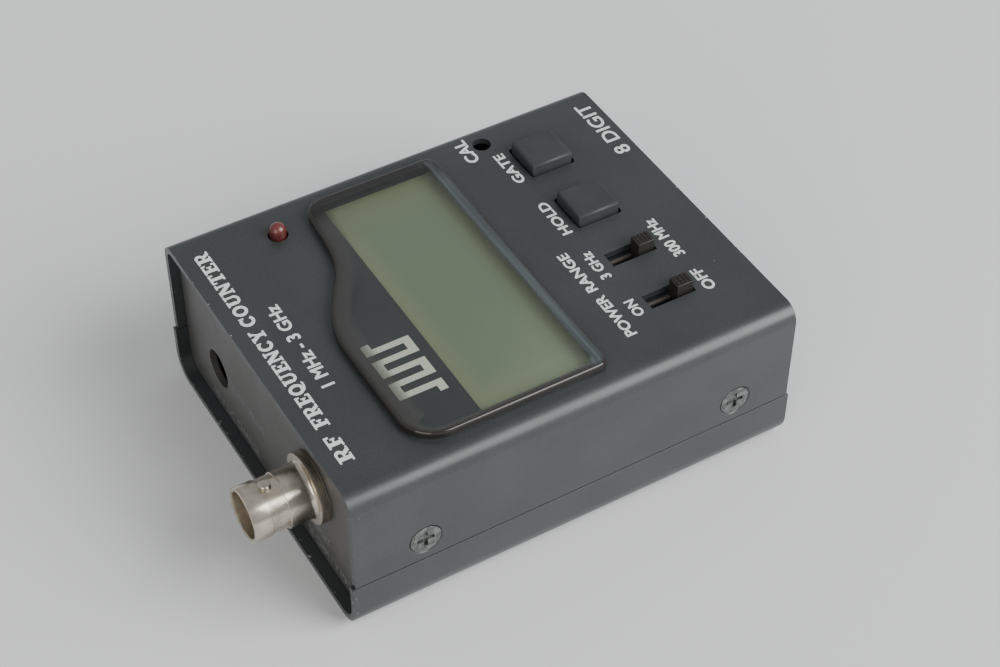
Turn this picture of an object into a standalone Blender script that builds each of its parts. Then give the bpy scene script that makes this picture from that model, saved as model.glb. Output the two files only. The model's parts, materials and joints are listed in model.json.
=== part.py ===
"""Pocket frequency counter: a black two-part metal case with its display, controls and inner parts.

Units are metres and +Z is up, out of the face. The origin is the middle of the bottom. +Y points
to the connector end and +X to the right of a reader who holds the counter with the connector up.
"""

import math

import bmesh
import bpy
from mathutils import Matrix, Vector

MM = 0.001

# Clearances
GAP = 0.3 * MM              # between neighbouring pieces
SLIDING_GAP = 0.5 * MM      # round a button in its hole

# Case
CASE_WIDTH = 69.0 * MM
CASE_HEIGHT = 31.2 * MM
COVER_LENGTH = 84.0 * MM
BASE_OVERHANG = 0.5 * MM    # the base reaches this much past the cover at each end
SHEET = 1.2 * MM
BEND_RADIUS = 3.1 * MM      # of the cover, outside
BASE_BEND_RADIUS = 4.6 * MM
BEND_STEPS = 6
SEAM_HEIGHT = 10.7 * MM
LIP_HEIGHT = 4.5 * MM       # of the base's inner lips, half of it above the seam
LIP_THICKNESS = 0.9 * MM
PANEL_RECESS = 1.75 * MM    # from the cover's end to the face of an end panel
TAB_RISE = 9.0 * MM         # height of an end panel's side tabs
TAB_MARGIN = 4.0 * MM       # metal past the middle of a screw hole

# Fasteners
SHANK_RADIUS = 1.5 * MM
FLAT_HEAD_RADIUS = 2.8 * MM
FLAT_HEAD_SINK = 0.1 * MM
PAN_HEAD_RADIUS = 2.7 * MM
PAN_HEAD_HEIGHT = 1.9 * MM
SIDE_SCREW_LENGTH = 5.0 * MM
BASE_SCREW_LENGTH = 8.0 * MM
BOARD_SCREW_LENGTH = 7.0 * MM
CROSS_LENGTH = 3.2 * MM
CROSS_WIDTH = 0.75 * MM
CROSS_DEPTH = 0.8 * MM
SIDE_SCREW_FRONT_Y = 29.1 * MM
SIDE_SCREW_REAR_Y = -30.8 * MM
SIDE_SCREW_Z = 15.3 * MM
STANDOFF_FLATS = 5.0 * MM
STANDOFF_INSET_X = 6.9 * MM     # standoff axis from the case's side
STANDOFF_INSET_Y = 6.4 * MM     # standoff axis from the cover's end

# Circuit boards
BOARD_THICKNESS = 1.6 * MM
MAIN_BOARD_DEPTH = 9.8 * MM     # from the face of the case down to the board's top
MAIN_BOARD_MARGIN = 3.5 * MM    # from the case's outside
CHARGER_BOARD_LENGTH = 16.3 * MM

# Display
LENS_LEFT = -29.9 * MM
LENS_RIGHT = 29.2 * MM
LENS_FOOT = -8.0 * MM
LENS_HEAD = 27.9 * MM
LENS_SHOULDER = 17.9 * MM       # where the lens meets its right side
LENS_PROUD = 2.0 * MM
LENS_ROUNDING = 1.6 * MM
LENS_WALL = 1.1 * MM
LENS_SLOPE_HEAD = Vector((-0.3, 27.9)) * MM     # where the S-curve's straight part would meet the
LENS_SLOPE_FOOT = Vector((13.0, 19.6)) * MM     # head, and the shallow run to the shoulder
POCKET_DEPTH = 0.8 * MM
MASK_THICKNESS = 0.3 * MM
WINDOW_LEFT = -28.0 * MM
WINDOW_RIGHT = 27.2 * MM
WINDOW_FOOT = -6.5 * MM
WINDOW_HEAD = 15.0 * MM
GLASS_THICKNESS = 2.2 * MM
FRAME_WALL = 2.4 * MM
FRAME_LEDGE = 3.0 * MM
STRIP_WIDTH = 1.8 * MM

# Controls
CONTROL_ROW_Y = -25.7 * MM
SLOT_WIDTH = 3.4 * MM
SLOT_LENGTH = 8.8 * MM
POWER_X = -20.25 * MM
RANGE_X = -8.4 * MM
KNOB_WIDTH = 2.6 * MM
KNOB_LENGTH = 3.3 * MM
KNOB_PROUD = 2.1 * MM
KNOB_NECK_WIDTH = 1.4 * MM
KNOB_NECK_LENGTH = 2.4 * MM
KNOB_NECK_DEPTH = 3.0 * MM
SLIDE_BODY_WIDTH = 6.0 * MM
SLIDE_BODY_MARGIN = 2.0 * MM    # of the slide switch's body past the slot's ends
SLIDE_BODY_DROP = 0.9 * MM      # from the face's underside to the switch's top
HOLD_X = 5.3 * MM
GATE_X = 20.75 * MM
BUTTON_HOLE_WIDTH = 8.7 * MM
BUTTON_HOLE_LENGTH = 8.9 * MM
BUTTON_PROUD = 2.1 * MM
BUTTON_HEIGHT = 6.9 * MM
BUTTON_SOCKET_DEPTH = 1.4 * MM
PLUNGER_RADIUS = 1.75 * MM
PLUNGER_LIFT = 1.1 * MM         # plunger's foot above the board
TACT_WIDTH = 6.2 * MM
TACT_HEIGHT = 3.4 * MM
CAL_X = 28.9 * MM
CAL_Y = -18.0 * MM
CAL_HOLE_RADIUS = 1.7 * MM
TRIMMER_WIDTH = 4.0 * MM
TRIMMER_HEIGHT = 4.0 * MM
ROTOR_RADIUS = 1.3 * MM
ROTOR_DROP = 1.2 * MM           # of the rotor's top below the face's underside
ROTOR_SLOT_WIDTH = 0.6 * MM
ROTOR_SLOT_DEPTH = 0.8 * MM

# Power light
LED_X = 25.8 * MM
LED_Y = 24.3 * MM
LED_RADIUS = 1.5 * MM
LED_CYLINDER_PROUD = 1.0 * MM
LED_LENGTH = 3.9 * MM           # from the flange to where the dome starts
LED_FLANGE_RADIUS = 1.9 * MM
LED_FLANGE_HEIGHT = 1.0 * MM
LED_LEAD_PITCH = 2.54 * MM
LED_LEAD_WIDTH = 0.5 * MM

# Coaxial input connector, by distance from the end panel's face
BNC_X = -17.3 * MM
BNC_Z = 17.85 * MM
BNC_REACH = 12.7 * MM
BNC_MOUTH_RADIUS = 4.825 * MM
BNC_MOUTH_LENGTH = 3.3 * MM
BNC_NECK_RADIUS = 4.65 * MM
BNC_NECK_LENGTH = 3.0 * MM
BNC_REAR_RADIUS = 4.9 * MM
BNC_FLARE_RADIUS = 5.3 * MM
BNC_FLARE_LENGTH = 0.9 * MM
BNC_FLANGE_RADIUS = 6.35 * MM
BNC_FLANGE_FRONT = 1.7 * MM
BNC_FLANGE_THICKNESS = 0.7 * MM
BNC_GASKET_RADIUS = 6.15 * MM
BNC_THREAD_RADIUS = 4.7 * MM
BNC_BORE_RADIUS = 4.06 * MM
BNC_BORE_DEPTH = 8.3 * MM
BNC_TAIL = 8.0 * MM             # behind the panel's face
BNC_LUG_RADIUS = 1.0 * MM
BNC_LUG_HEIGHT = 5.3 * MM
BNC_LUG_REACH = 8.5 * MM
BNC_NUT_FLATS = 12.7 * MM
BNC_NUT_THICKNESS = 2.4 * MM
BNC_WASHER_RADIUS = 6.3 * MM
BNC_WASHER_THICKNESS = 0.8 * MM
INSULATOR_RADIUS = 2.4 * MM
INSULATOR_RECESS = 3.4 * MM     # of the insulator's face behind the mouth
INSULATOR_TAIL = 9.0 * MM
CONTACT_RADIUS = 0.7 * MM
CONTACT_BORE_RADIUS = 0.4 * MM
CONTACT_BORE_DEPTH = 5.0 * MM
CONTACT_TAIL = 11.5 * MM
LEAD_RADIUS = 0.6 * MM
LEAD_RUN = 2.6 * MM             # of the wire's bend, along the case
LEAD_STEPS = 6

# Charger socket
JACK_X = 19.9 * MM
JACK_Z = 11.65 * MM
JACK_PANEL_HOLE_RADIUS = 3.65 * MM
JACK_WIDTH = 9.0 * MM
JACK_LENGTH = 14.2 * MM
JACK_RISE = 4.6 * MM            # from the socket's axis to the top of its body
JACK_HOLE_RADIUS = 3.2 * MM
JACK_HOLE_DEPTH = 11.0 * MM
JACK_PIN_RADIUS = 1.0 * MM
JACK_PIN_RECESS = 3.5 * MM
JACK_PIN_TAIL = 1.5 * MM

# Battery of four cells
CELL_RADIUS = 7.25 * MM
CELL_LENGTH = 49.2 * MM
CELL_NUB_RADIUS = 2.7 * MM
CELL_NUB_HEIGHT = 1.0 * MM
CELL_COUNT = 4
TRAY_WALL = 1.2 * MM
TRAY_FLOOR = 1.0 * MM
TRAY_HEIGHT = 10.0 * MM
TRAY_MIDDLE_Y = -5.4 * MM

# Chips and crystal
COUNTER_CHIP = Vector((16.0, 10.0, 2.4)) * MM
COUNTER_CHIP_PLACE = Vector((0.0, 4.0)) * MM
PRESCALER_CHIP = Vector((6.0, 5.0, 1.5)) * MM
PRESCALER_PLACE = Vector((-9.0, 26.0)) * MM
CRYSTAL = Vector((10.6, 4.6, 3.6)) * MM
CRYSTAL_PLACE = Vector((17.5, -14.4)) * MM

# Worked out from the sizes above
HALF_WIDTH = CASE_WIDTH / 2
COVER_END = COVER_LENGTH / 2
BASE_END = COVER_END + BASE_OVERHANG
CASE_INSIDE = HALF_WIDTH - SHEET
FACE_UNDERSIDE = CASE_HEIGHT - SHEET
PANEL_FACE = COVER_END - PANEL_RECESS
PANEL_BACK = PANEL_FACE - SHEET
TAB_OUTSIDE = CASE_INSIDE - GAP
STANDOFF_X = HALF_WIDTH - STANDOFF_INSET_X
STANDOFF_Y = COVER_END - STANDOFF_INSET_Y
SHANK_HOLE_RADIUS = SHANK_RADIUS + GAP
EAR_FLOOR = SHEET + GAP
EAR_TOP = EAR_FLOOR + SHEET
MAIN_BOARD_TOP = CASE_HEIGHT - MAIN_BOARD_DEPTH
MAIN_BOARD_FLOOR = MAIN_BOARD_TOP - BOARD_THICKNESS
ON_BOARD = MAIN_BOARD_TOP + GAP
CHARGER_BOARD_FLOOR = EAR_TOP + GAP
CHARGER_BOARD_TOP = CHARGER_BOARD_FLOOR + BOARD_THICKNESS
GLASS_TOP = CASE_HEIGHT - GAP / 2
GLASS_FLOOR = GLASS_TOP - GLASS_THICKNESS


def new_collection(name):
    """An empty collection of this name in the scene."""
    collection = bpy.data.collections.new(name)
    bpy.context.scene.collection.children.link(collection)
    return collection


def new_material(name, colour, roughness, metallic=0.0):
    """A Principled material with one colour."""
    material = bpy.data.materials.new(name)
    material.use_nodes = True
    shader = material.node_tree.nodes["Principled BSDF"]
    shader.inputs["Base Color"].default_value = (*colour, 1.0)
    shader.inputs["Roughness"].default_value = roughness
    shader.inputs["Metallic"].default_value = metallic
    return material


for old in list(bpy.data.objects):
    bpy.data.objects.remove(old, do_unlink=True)

PARTS = new_collection("frequency_counter")
CUTTERS = new_collection("cutters")

PAINT = new_material("black_paint", (0.05, 0.055, 0.065), 0.4)
SCREW_STEEL = new_material("blackened_steel", (0.12, 0.12, 0.12), 0.4, 0.9)
STEEL = new_material("zinc_steel", (0.55, 0.55, 0.55), 0.35, 1.0)
NICKEL = new_material("nickel", (0.72, 0.68, 0.6), 0.2, 1.0)
GOLD = new_material("gold_contact", (0.85, 0.65, 0.3), 0.3, 1.0)
CLEAR = new_material("clear_lens", (0.55, 0.6, 0.55), 0.1)
MASK_BLACK = new_material("mask_black", (0.02, 0.02, 0.025), 0.3)
GLASS = new_material("display_glass", (0.35, 0.4, 0.28), 0.2)
BLACK_PLASTIC = new_material("black_plastic", (0.03, 0.03, 0.03), 0.5)
RUBBER = new_material("contact_rubber", (0.3, 0.3, 0.32), 0.7)
RED_PLASTIC = new_material("red_light", (0.6, 0.02, 0.02), 0.15)
WHITE_PLASTIC = new_material("white_plastic", (0.8, 0.8, 0.76), 0.5)
BOARD_GREEN = new_material("board_green", (0.05, 0.2, 0.1), 0.4)
CELL_SLEEVE = new_material("cell_sleeve", (0.1, 0.25, 0.45), 0.35)


def add_object(name, mesh, material, collection):
    """An object of this mesh in the collection."""
    obj = bpy.data.objects.new(name, mesh)
    if material:
        mesh.materials.append(material)
    collection.objects.link(obj)
    return obj


def as_cutter(obj):
    """Marks a helper that shapes another piece and isn't part of the model."""
    obj.hide_render = True
    obj.display_type = "WIRE"
    return obj


def mesh_of(name, bm):
    """A mesh from a bmesh, with outward faces."""
    bmesh.ops.recalc_face_normals(bm, faces=bm.faces)
    mesh = bpy.data.meshes.new(name)
    bm.to_mesh(mesh)
    bm.free()
    return mesh


def box_mesh(name, low, high):
    """A box between two corners."""
    low, high = Vector(low), Vector(high)
    place = Matrix.Translation((low + high) / 2) @ Matrix.Diagonal((*(high - low), 1.0))
    bm = bmesh.new()
    bmesh.ops.create_cube(bm, size=1.0, matrix=place)
    return mesh_of(name, bm)


def rod_mesh(name, radius, start, end, segments=20, end_radius=None):
    """A cylinder, or a cone, from one point to another."""
    start, end = Vector(start), Vector(end)
    line = end - start
    turn = Vector((0, 0, 1)).rotation_difference(line).to_matrix().to_4x4()
    place = Matrix.Translation((start + end) / 2) @ turn
    far = radius if end_radius is None else end_radius
    bm = bmesh.new()
    bmesh.ops.create_cone(
        bm, cap_ends=True, segments=segments, radius1=radius, radius2=far, depth=line.length, matrix=place)
    mesh = mesh_of(name, bm)
    mesh.shade_smooth()
    mesh.set_sharp_from_angle(angle=math.radians(35))
    return mesh


def add_box(name, low, high, material, bevel=0.0):
    """A box piece, with rounded edges when a bevel is given."""
    obj = add_object(name, box_mesh(name, low, high), material, PARTS)
    if bevel:
        soften(obj, bevel)
    return obj


def add_rod(name, radius, start, end, material, segments=20):
    """A round piece from one point to another."""
    return add_object(name, rod_mesh(name, radius, start, end, segments), material, PARTS)


def soften(obj, width, segments=2):
    """Rounds the edges of a piece."""
    bevel = obj.modifiers.new("rounded_edges", "BEVEL")
    bevel.width = width
    bevel.segments = segments
    bevel.limit_method = "ANGLE"


def boolean(obj, helper, operation):
    """Cuts a helper out of a piece, or joins it on."""
    modifier = obj.modifiers.new(f"{operation.lower()}_{helper.name}", "BOOLEAN")
    modifier.operation = operation
    modifier.solver = "EXACT"
    modifier.object = helper
    return obj


def cut_box(obj, name, low, high):
    """Cuts a box out of a piece."""
    return boolean(obj, as_cutter(add_object(name, box_mesh(name, low, high), None, CUTTERS)), "DIFFERENCE")


def cut_rod(obj, name, radius, start, end, segments=20, end_radius=None):
    """Drills a round or conical hole in a piece."""
    mesh = rod_mesh(name, radius, start, end, segments, end_radius)
    return boolean(obj, as_cutter(add_object(name, mesh, None, CUTTERS)), "DIFFERENCE")


def join_box(obj, name, low, high):
    """Joins a box onto a piece."""
    return boolean(obj, as_cutter(add_object(name, box_mesh(name, low, high), None, CUTTERS)), "UNION")


def join_rod(obj, name, radius, start, end, segments=16):
    """Joins a rod onto a piece."""
    mesh = rod_mesh(name, radius, start, end, segments)
    return boolean(obj, as_cutter(add_object(name, mesh, None, CUTTERS)), "UNION")


def frozen_mesh(obj):
    """The evaluated mesh of a helper object, which is then removed."""
    evaluated = obj.evaluated_get(bpy.context.evaluated_depsgraph_get())
    mesh = bpy.data.meshes.new_from_object(evaluated)
    bpy.data.objects.remove(obj, do_unlink=True)
    return mesh


def arc_points(centre, radius, start, end, steps):
    """Points along an arc, with both ends."""
    angles = [start + (end - start) * k / steps for k in range(steps + 1)]
    return [Vector((centre[0] + radius * math.cos(a), centre[1] + radius * math.sin(a))) for a in angles]


def rounded_outline(corners):
    """A closed outline from corners (x, y, radius, steps) given anticlockwise, each rounded by an arc."""
    points = []
    for index, (x, y, radius, steps) in enumerate(corners):
        corner = Vector((x, y))
        before = (Vector(corners[index - 1][:2]) - corner).normalized()
        after = (Vector(corners[(index + 1) % len(corners)][:2]) - corner).normalized()
        half = before.angle(after) / 2
        centre = corner + (before + after).normalized() * radius / math.sin(half)
        from_centre = corner + before * radius / math.tan(half) - centre
        to_centre = corner + after * radius / math.tan(half) - centre
        start = math.atan2(from_centre.y, from_centre.x)
        sweep = math.atan2(to_centre.y, to_centre.x) - start
        sweep = (sweep + math.pi) % math.tau - math.pi
        points += arc_points(centre, radius, start, start + sweep, steps)
    return points


def inset_corners(corners, inset):
    """The corners moved inwards, with their radii changed so that the wall stays even."""
    moved = []
    for index, (x, y, radius, steps) in enumerate(corners):
        corner = Vector((x, y))
        into = (corner - Vector(corners[index - 1][:2])).normalized()
        out = (Vector(corners[(index + 1) % len(corners)][:2]) - corner).normalized()
        inward_before = Vector((-into.y, into.x))
        inward_after = Vector((-out.y, out.x))
        step = (inward_before + inward_after) * inset / (1 + inward_before.dot(inward_after))
        outer_corner = into.cross(out) > 0
        new_radius = max(radius - inset, radius / 4) if outer_corner else radius + inset
        moved.append((x + step.x, y + step.y, new_radius, steps))
    return moved


def plate_mesh(name, points, low, high):
    """A flat plate of this outline between two heights."""
    curve = bpy.data.curves.new(name, "CURVE")
    curve.dimensions = "2D"
    curve.fill_mode = "BOTH"
    curve.extrude = (high - low) / 2
    spline = curve.splines.new("POLY")
    spline.points.add(len(points) - 1)
    for point, place in zip(spline.points, points):
        point.co = (place.x, place.y, 0.0, 1.0)
    spline.use_cyclic_u = True
    helper = bpy.data.objects.new(name, curve)
    bpy.context.scene.collection.objects.link(helper)
    mesh = frozen_mesh(helper)
    bm = bmesh.new()
    bm.from_mesh(mesh)
    bpy.data.meshes.remove(mesh)
    bmesh.ops.remove_doubles(bm, verts=bm.verts, dist=0.002 * MM)
    bmesh.ops.dissolve_limit(bm, angle_limit=math.radians(1), verts=bm.verts, edges=bm.edges)
    bmesh.ops.translate(bm, verts=bm.verts, vec=(0, 0, (low + high) / 2))
    return mesh_of(name, bm)


def rounded_rectangle(left, right, foot, head, radius, steps=4):
    """Corners of a rectangle, all with one radius."""
    return [(left, foot, radius, steps), (right, foot, radius, steps),
            (right, head, radius, steps), (left, head, radius, steps)]


def cut_plate(obj, name, corners, low, high):
    """Cuts an outline with rounded corners through a piece."""
    mesh = plate_mesh(name, rounded_outline(corners), low, high)
    return boolean(obj, as_cutter(add_object(name, mesh, None, CUTTERS)), "DIFFERENCE")


def turned(name, profile, material, segments=24, collection=PARTS):
    """A turned piece about Z from points (radius, height), listed down its outer side."""
    mesh = bpy.data.meshes.new(name)
    bm = bmesh.new()
    verts = [bm.verts.new((radius, 0.0, height)) for radius, height in profile]
    for first, second in zip(verts, verts[1:]):
        bm.edges.new((first, second))
    if profile[0][0] > 0:
        bm.edges.new((verts[-1], verts[0]))
    bm.to_mesh(mesh)
    bm.free()
    obj = add_object(name, mesh, material, collection)
    screw = obj.modifiers.new("turned", "SCREW")
    screw.axis = "Z"
    screw.steps = segments
    screw.render_steps = segments
    screw.use_merge_vertices = True
    screw.merge_threshold = 0.002 * MM
    screw.use_smooth_shade = False
    return obj


def bake_at(obj, place):
    """Moves the evaluated shape of a helper to its place in the case and returns its mesh."""
    mesh = frozen_mesh(obj)
    mesh.transform(place)
    return mesh


def channel_mesh(name, profile, length):
    """An open sheet: a profile of (x, z) points drawn out along Y."""
    bm = bmesh.new()
    verts = [bm.verts.new((point.x, -length / 2, point.y)) for point in profile]
    edges = [bm.edges.new(pair) for pair in zip(verts, verts[1:])]
    drawn = bmesh.ops.extrude_edge_only(bm, edges=edges)["geom"]
    far = [item for item in drawn if isinstance(item, bmesh.types.BMVert)]
    bmesh.ops.translate(bm, verts=far, vec=(0, length, 0))
    mesh = bpy.data.meshes.new(name)
    bm.to_mesh(mesh)
    bm.free()
    return mesh


def sheet_channel(name, profile, length, material):
    """A bent sheet whose outer face is the profile."""
    obj = add_object(name, channel_mesh(name, profile, length), material, PARTS)
    solid = obj.modifiers.new("sheet", "SOLIDIFY")
    solid.thickness = SHEET
    solid.offset = -1.0
    solid.use_even_offset = True
    return obj


def cover_profile():
    """The cover's outer line from its right foot over the face to its left foot."""
    foot = SEAM_HEIGHT + GAP / 2
    bend_x = HALF_WIDTH - BEND_RADIUS
    bend_z = CASE_HEIGHT - BEND_RADIUS
    right = arc_points((bend_x, bend_z), BEND_RADIUS, 0.0, math.pi / 2, BEND_STEPS)
    left = arc_points((-bend_x, bend_z), BEND_RADIUS, math.pi / 2, math.pi, BEND_STEPS)
    return [Vector((HALF_WIDTH, foot)), *right, *left, Vector((-HALF_WIDTH, foot))]


def base_profile():
    """The base's outer line from its left lip under the floor to its right lip."""
    head = SEAM_HEIGHT - GAP / 2
    radius = BASE_BEND_RADIUS
    left = arc_points((radius - HALF_WIDTH, radius), radius, math.pi, 1.5 * math.pi, BEND_STEPS)
    right = arc_points((HALF_WIDTH - radius, radius), radius, 1.5 * math.pi, math.tau, BEND_STEPS)
    return [Vector((-HALF_WIDTH, head)), *left, *right, Vector((HALF_WIDTH, head))]


def side_screw_places():
    """Side (-1 or 1) and distance along the case of each side screw."""
    return [(side, y) for y in (SIDE_SCREW_FRONT_Y, SIDE_SCREW_REAR_Y) for side in (-1, 1)]


def standoff_places():
    """Where the standoffs and their screws stand."""
    return [(side * STANDOFF_X, end * STANDOFF_Y) for end in (1, -1) for side in (-1, 1)]


def lens_corners():
    """The lens outline: a rectangle whose head steps down in an S-curve towards the right."""
    return [
        (LENS_LEFT, LENS_FOOT, 2.0 * MM, 4),
        (LENS_RIGHT, LENS_FOOT, 2.2 * MM, 4),
        (LENS_RIGHT, LENS_SHOULDER, 4.0 * MM, 5),
        (*LENS_SLOPE_FOOT, 18.0 * MM, 6),
        (*LENS_SLOPE_HEAD, 20.0 * MM, 8),
        (LENS_LEFT, LENS_HEAD, 6.5 * MM, 6),
    ]


def make_top_cover():
    """The face and both long sides, bent from one sheet."""
    cover = sheet_channel("top_cover", cover_profile(), COVER_LENGTH, PAINT)
    below, above = FACE_UNDERSIDE - SHEET, CASE_HEIGHT + SHEET
    window = rounded_rectangle(WINDOW_LEFT - GAP, WINDOW_RIGHT + GAP, WINDOW_FOOT - GAP, WINDOW_HEAD + GAP,
                               1.0 * MM)
    cut_plate(cover, "cutter_window", window, below, above)
    for name, x in (("hold", HOLD_X), ("gate", GATE_X)):
        half_width, half_length = BUTTON_HOLE_WIDTH / 2, BUTTON_HOLE_LENGTH / 2
        hole = rounded_rectangle(x - half_width, x + half_width,
                                 CONTROL_ROW_Y - half_length, CONTROL_ROW_Y + half_length, 0.5 * MM, 3)
        cut_plate(cover, f"cutter_{name}_hole", hole, below, above)
    for name, x in (("power", POWER_X), ("range", RANGE_X)):
        half_width, half_length = SLOT_WIDTH / 2, SLOT_LENGTH / 2
        cut_box(cover, f"cutter_{name}_slot", (x - half_width, CONTROL_ROW_Y - half_length, below),
                (x + half_width, CONTROL_ROW_Y + half_length, above))
    cut_rod(cover, "cutter_light_hole", LED_RADIUS + GAP, (LED_X, LED_Y, below), (LED_X, LED_Y, above))
    cut_rod(cover, "cutter_cal_hole", CAL_HOLE_RADIUS, (CAL_X, CAL_Y, below), (CAL_X, CAL_Y, above))
    for number, (side, y) in enumerate(side_screw_places(), 1):
        inner = (side * (CASE_INSIDE - SHEET), y, SIDE_SCREW_Z)
        outer = (side * (HALF_WIDTH + SHEET), y, SIDE_SCREW_Z)
        slope = (FLAT_HEAD_RADIUS - SHANK_RADIUS) / SHEET
        wide, narrow = FLAT_HEAD_RADIUS + GAP + slope * SHEET, SHANK_RADIUS + GAP - slope * SHEET
        cut_rod(cover, f"cutter_side_hole_{number}", narrow, inner, outer, 24, wide)


def make_base_shell():
    """The floor with its low sides and the inner lips that line up the cover."""
    base = sheet_channel("base_shell", base_profile(), 2 * BASE_END, PAINT)
    lip_front = SIDE_SCREW_FRONT_Y - TAB_MARGIN - 2 * GAP
    lip_rear = SIDE_SCREW_REAR_Y + TAB_MARGIN + 2 * GAP
    for side, name in ((-1, "left"), (1, "right")):
        lip_floor = SEAM_HEIGHT - LIP_HEIGHT / 2
        inner, outer = side * (TAB_OUTSIDE - LIP_THICKNESS), side * TAB_OUTSIDE
        join_box(base, f"joined_{name}_lip", (min(inner, outer), lip_rear, lip_floor),
                 (max(inner, outer), lip_front, lip_floor + LIP_HEIGHT))
        welded = side * (CASE_INSIDE + SHEET / 2)
        join_box(base, f"joined_{name}_foot", (min(inner, welded), lip_rear, lip_floor),
                 (max(inner, welded), lip_front, SEAM_HEIGHT - 2 * GAP))
    for number, (x, y) in enumerate(standoff_places(), 1):
        slope = (FLAT_HEAD_RADIUS - SHANK_RADIUS) / SHEET
        wide, narrow = FLAT_HEAD_RADIUS + GAP + slope * SHEET, SHANK_RADIUS + GAP - slope * SHEET
        cut_rod(base, f"cutter_base_hole_{number}", narrow, (x, y, 2 * SHEET), (x, y, -SHEET), 24, wide)


def make_end_panel(name, end, screw_y):
    """A recessed end panel with side tabs for the cover's screws and ears under the standoffs."""
    face, back = end * PANEL_FACE, end * PANEL_BACK
    low, high = min(face, back), max(face, back)
    foot_radius, head_radius = (radius - SHEET - GAP for radius in (BASE_BEND_RADIUS, BEND_RADIUS))
    plate_head = FACE_UNDERSIDE - GAP
    outline = [(-TAB_OUTSIDE, EAR_FLOOR, foot_radius, 4), (TAB_OUTSIDE, EAR_FLOOR, foot_radius, 4),
               (TAB_OUTSIDE, plate_head, head_radius, 3), (-TAB_OUTSIDE, plate_head, head_radius, 3)]
    plate = plate_mesh(name, rounded_outline(outline), -high, -low)
    plate.transform(Matrix.Rotation(math.pi / 2, 4, "X"))
    panel = add_object(name, plate, PAINT, PARTS)
    middle = (low + high) / 2
    tab_end = screw_y - end * TAB_MARGIN
    ear_end = end * (STANDOFF_Y - STANDOFF_FLATS / 2 + GAP)
    tab_floor = SEAM_HEIGHT + 2 * GAP
    for side, word in ((-1, "left"), (1, "right")):
        x_in, x_out = side * (TAB_OUTSIDE - SHEET), side * TAB_OUTSIDE
        join_box(panel, f"joined_{name}_{word}_tab", (min(x_in, x_out), min(tab_end, middle), tab_floor),
                 (max(x_in, x_out), max(tab_end, middle), tab_floor + TAB_RISE))
        cut_rod(panel, f"cutter_{name}_{word}_thread", SHANK_HOLE_RADIUS,
                (side * (CASE_INSIDE - 2 * SHEET - GAP), screw_y, SIDE_SCREW_Z),
                (side * HALF_WIDTH, screw_y, SIDE_SCREW_Z), 16)
        ear_in, ear_out = side * (STANDOFF_X - TAB_MARGIN), side * (STANDOFF_X + STANDOFF_FLATS / 2)
        join_box(panel, f"joined_{name}_{word}_ear", (min(ear_in, ear_out), min(ear_end, middle), EAR_FLOOR),
                 (max(ear_in, ear_out), max(ear_end, middle), EAR_TOP))
        cut_rod(panel, f"cutter_{name}_{word}_ear", SHANK_HOLE_RADIUS,
                (side * STANDOFF_X, end * STANDOFF_Y, 0.0),
                (side * STANDOFF_X, end * STANDOFF_Y, 2 * EAR_TOP), 16)
    return panel


def make_end_panels():
    """Both end panels. The front one has the holes for the connector and the charger socket."""
    front = make_end_panel("connector_end_panel", 1, SIDE_SCREW_FRONT_Y)
    cut_rod(front, "cutter_input_hole", BNC_THREAD_RADIUS + GAP, (BNC_X, PANEL_BACK - SHEET, BNC_Z),
            (BNC_X, PANEL_FACE + SHEET, BNC_Z), 28)
    cut_rod(front, "cutter_charger_hole", JACK_PANEL_HOLE_RADIUS, (JACK_X, PANEL_BACK - SHEET, JACK_Z),
            (JACK_X, PANEL_FACE + SHEET, JACK_Z), 28)
    make_end_panel("plain_end_panel", -1, SIDE_SCREW_REAR_Y)


def screw_mesh(name, head, length):
    """A screw that points down, with its head's top at zero and its head given as (radius, height)."""
    profile = [(0.0, 0.0), *head, (SHANK_RADIUS, -length), (0.0, -length)]
    screw = turned(name, profile, SCREW_STEEL, 16)
    half = CROSS_LENGTH / 2
    width = CROSS_WIDTH / 2
    cut_box(screw, f"cutter_{name}_cross_a", (-half, -width, -CROSS_DEPTH), (half, width, CROSS_DEPTH))
    cut_box(screw, f"cutter_{name}_cross_b", (-width, -half, -CROSS_DEPTH), (width, half, CROSS_DEPTH))
    return frozen_mesh(screw)


def make_screws():
    """Four side screws, four floor screws and four board screws."""
    flat_head = [(FLAT_HEAD_RADIUS, 0.0), (SHANK_RADIUS, -SHEET)]
    side_mesh = screw_mesh("side_screw", flat_head, SIDE_SCREW_LENGTH)
    for number, (side, y) in enumerate(side_screw_places(), 1):
        screw = add_object(f"side_screw_{number}", side_mesh, None, PARTS)
        screw.location = (side * (HALF_WIDTH - FLAT_HEAD_SINK), y, SIDE_SCREW_Z)
        screw.rotation_euler = (0, side * math.pi / 2, 0)
    base_mesh = screw_mesh("base_screw", flat_head, BASE_SCREW_LENGTH)
    pan_head = [(PAN_HEAD_RADIUS - PAN_HEAD_HEIGHT / 2, 0.0), (PAN_HEAD_RADIUS, -PAN_HEAD_HEIGHT / 2),
                (PAN_HEAD_RADIUS, -PAN_HEAD_HEIGHT), (SHANK_RADIUS, -PAN_HEAD_HEIGHT)]
    board_mesh = screw_mesh("board_screw", pan_head, BOARD_SCREW_LENGTH)
    for number, (x, y) in enumerate(standoff_places(), 1):
        base_screw = add_object(f"base_screw_{number}", base_mesh, None, PARTS)
        base_screw.location = (x, y, FLAT_HEAD_SINK)
        base_screw.rotation_euler = (math.pi, 0, 0)
        board_screw = add_object(f"board_screw_{number}", board_mesh, None, PARTS)
        board_screw.location = (x, y, ON_BOARD + PAN_HEAD_HEIGHT)


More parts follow.
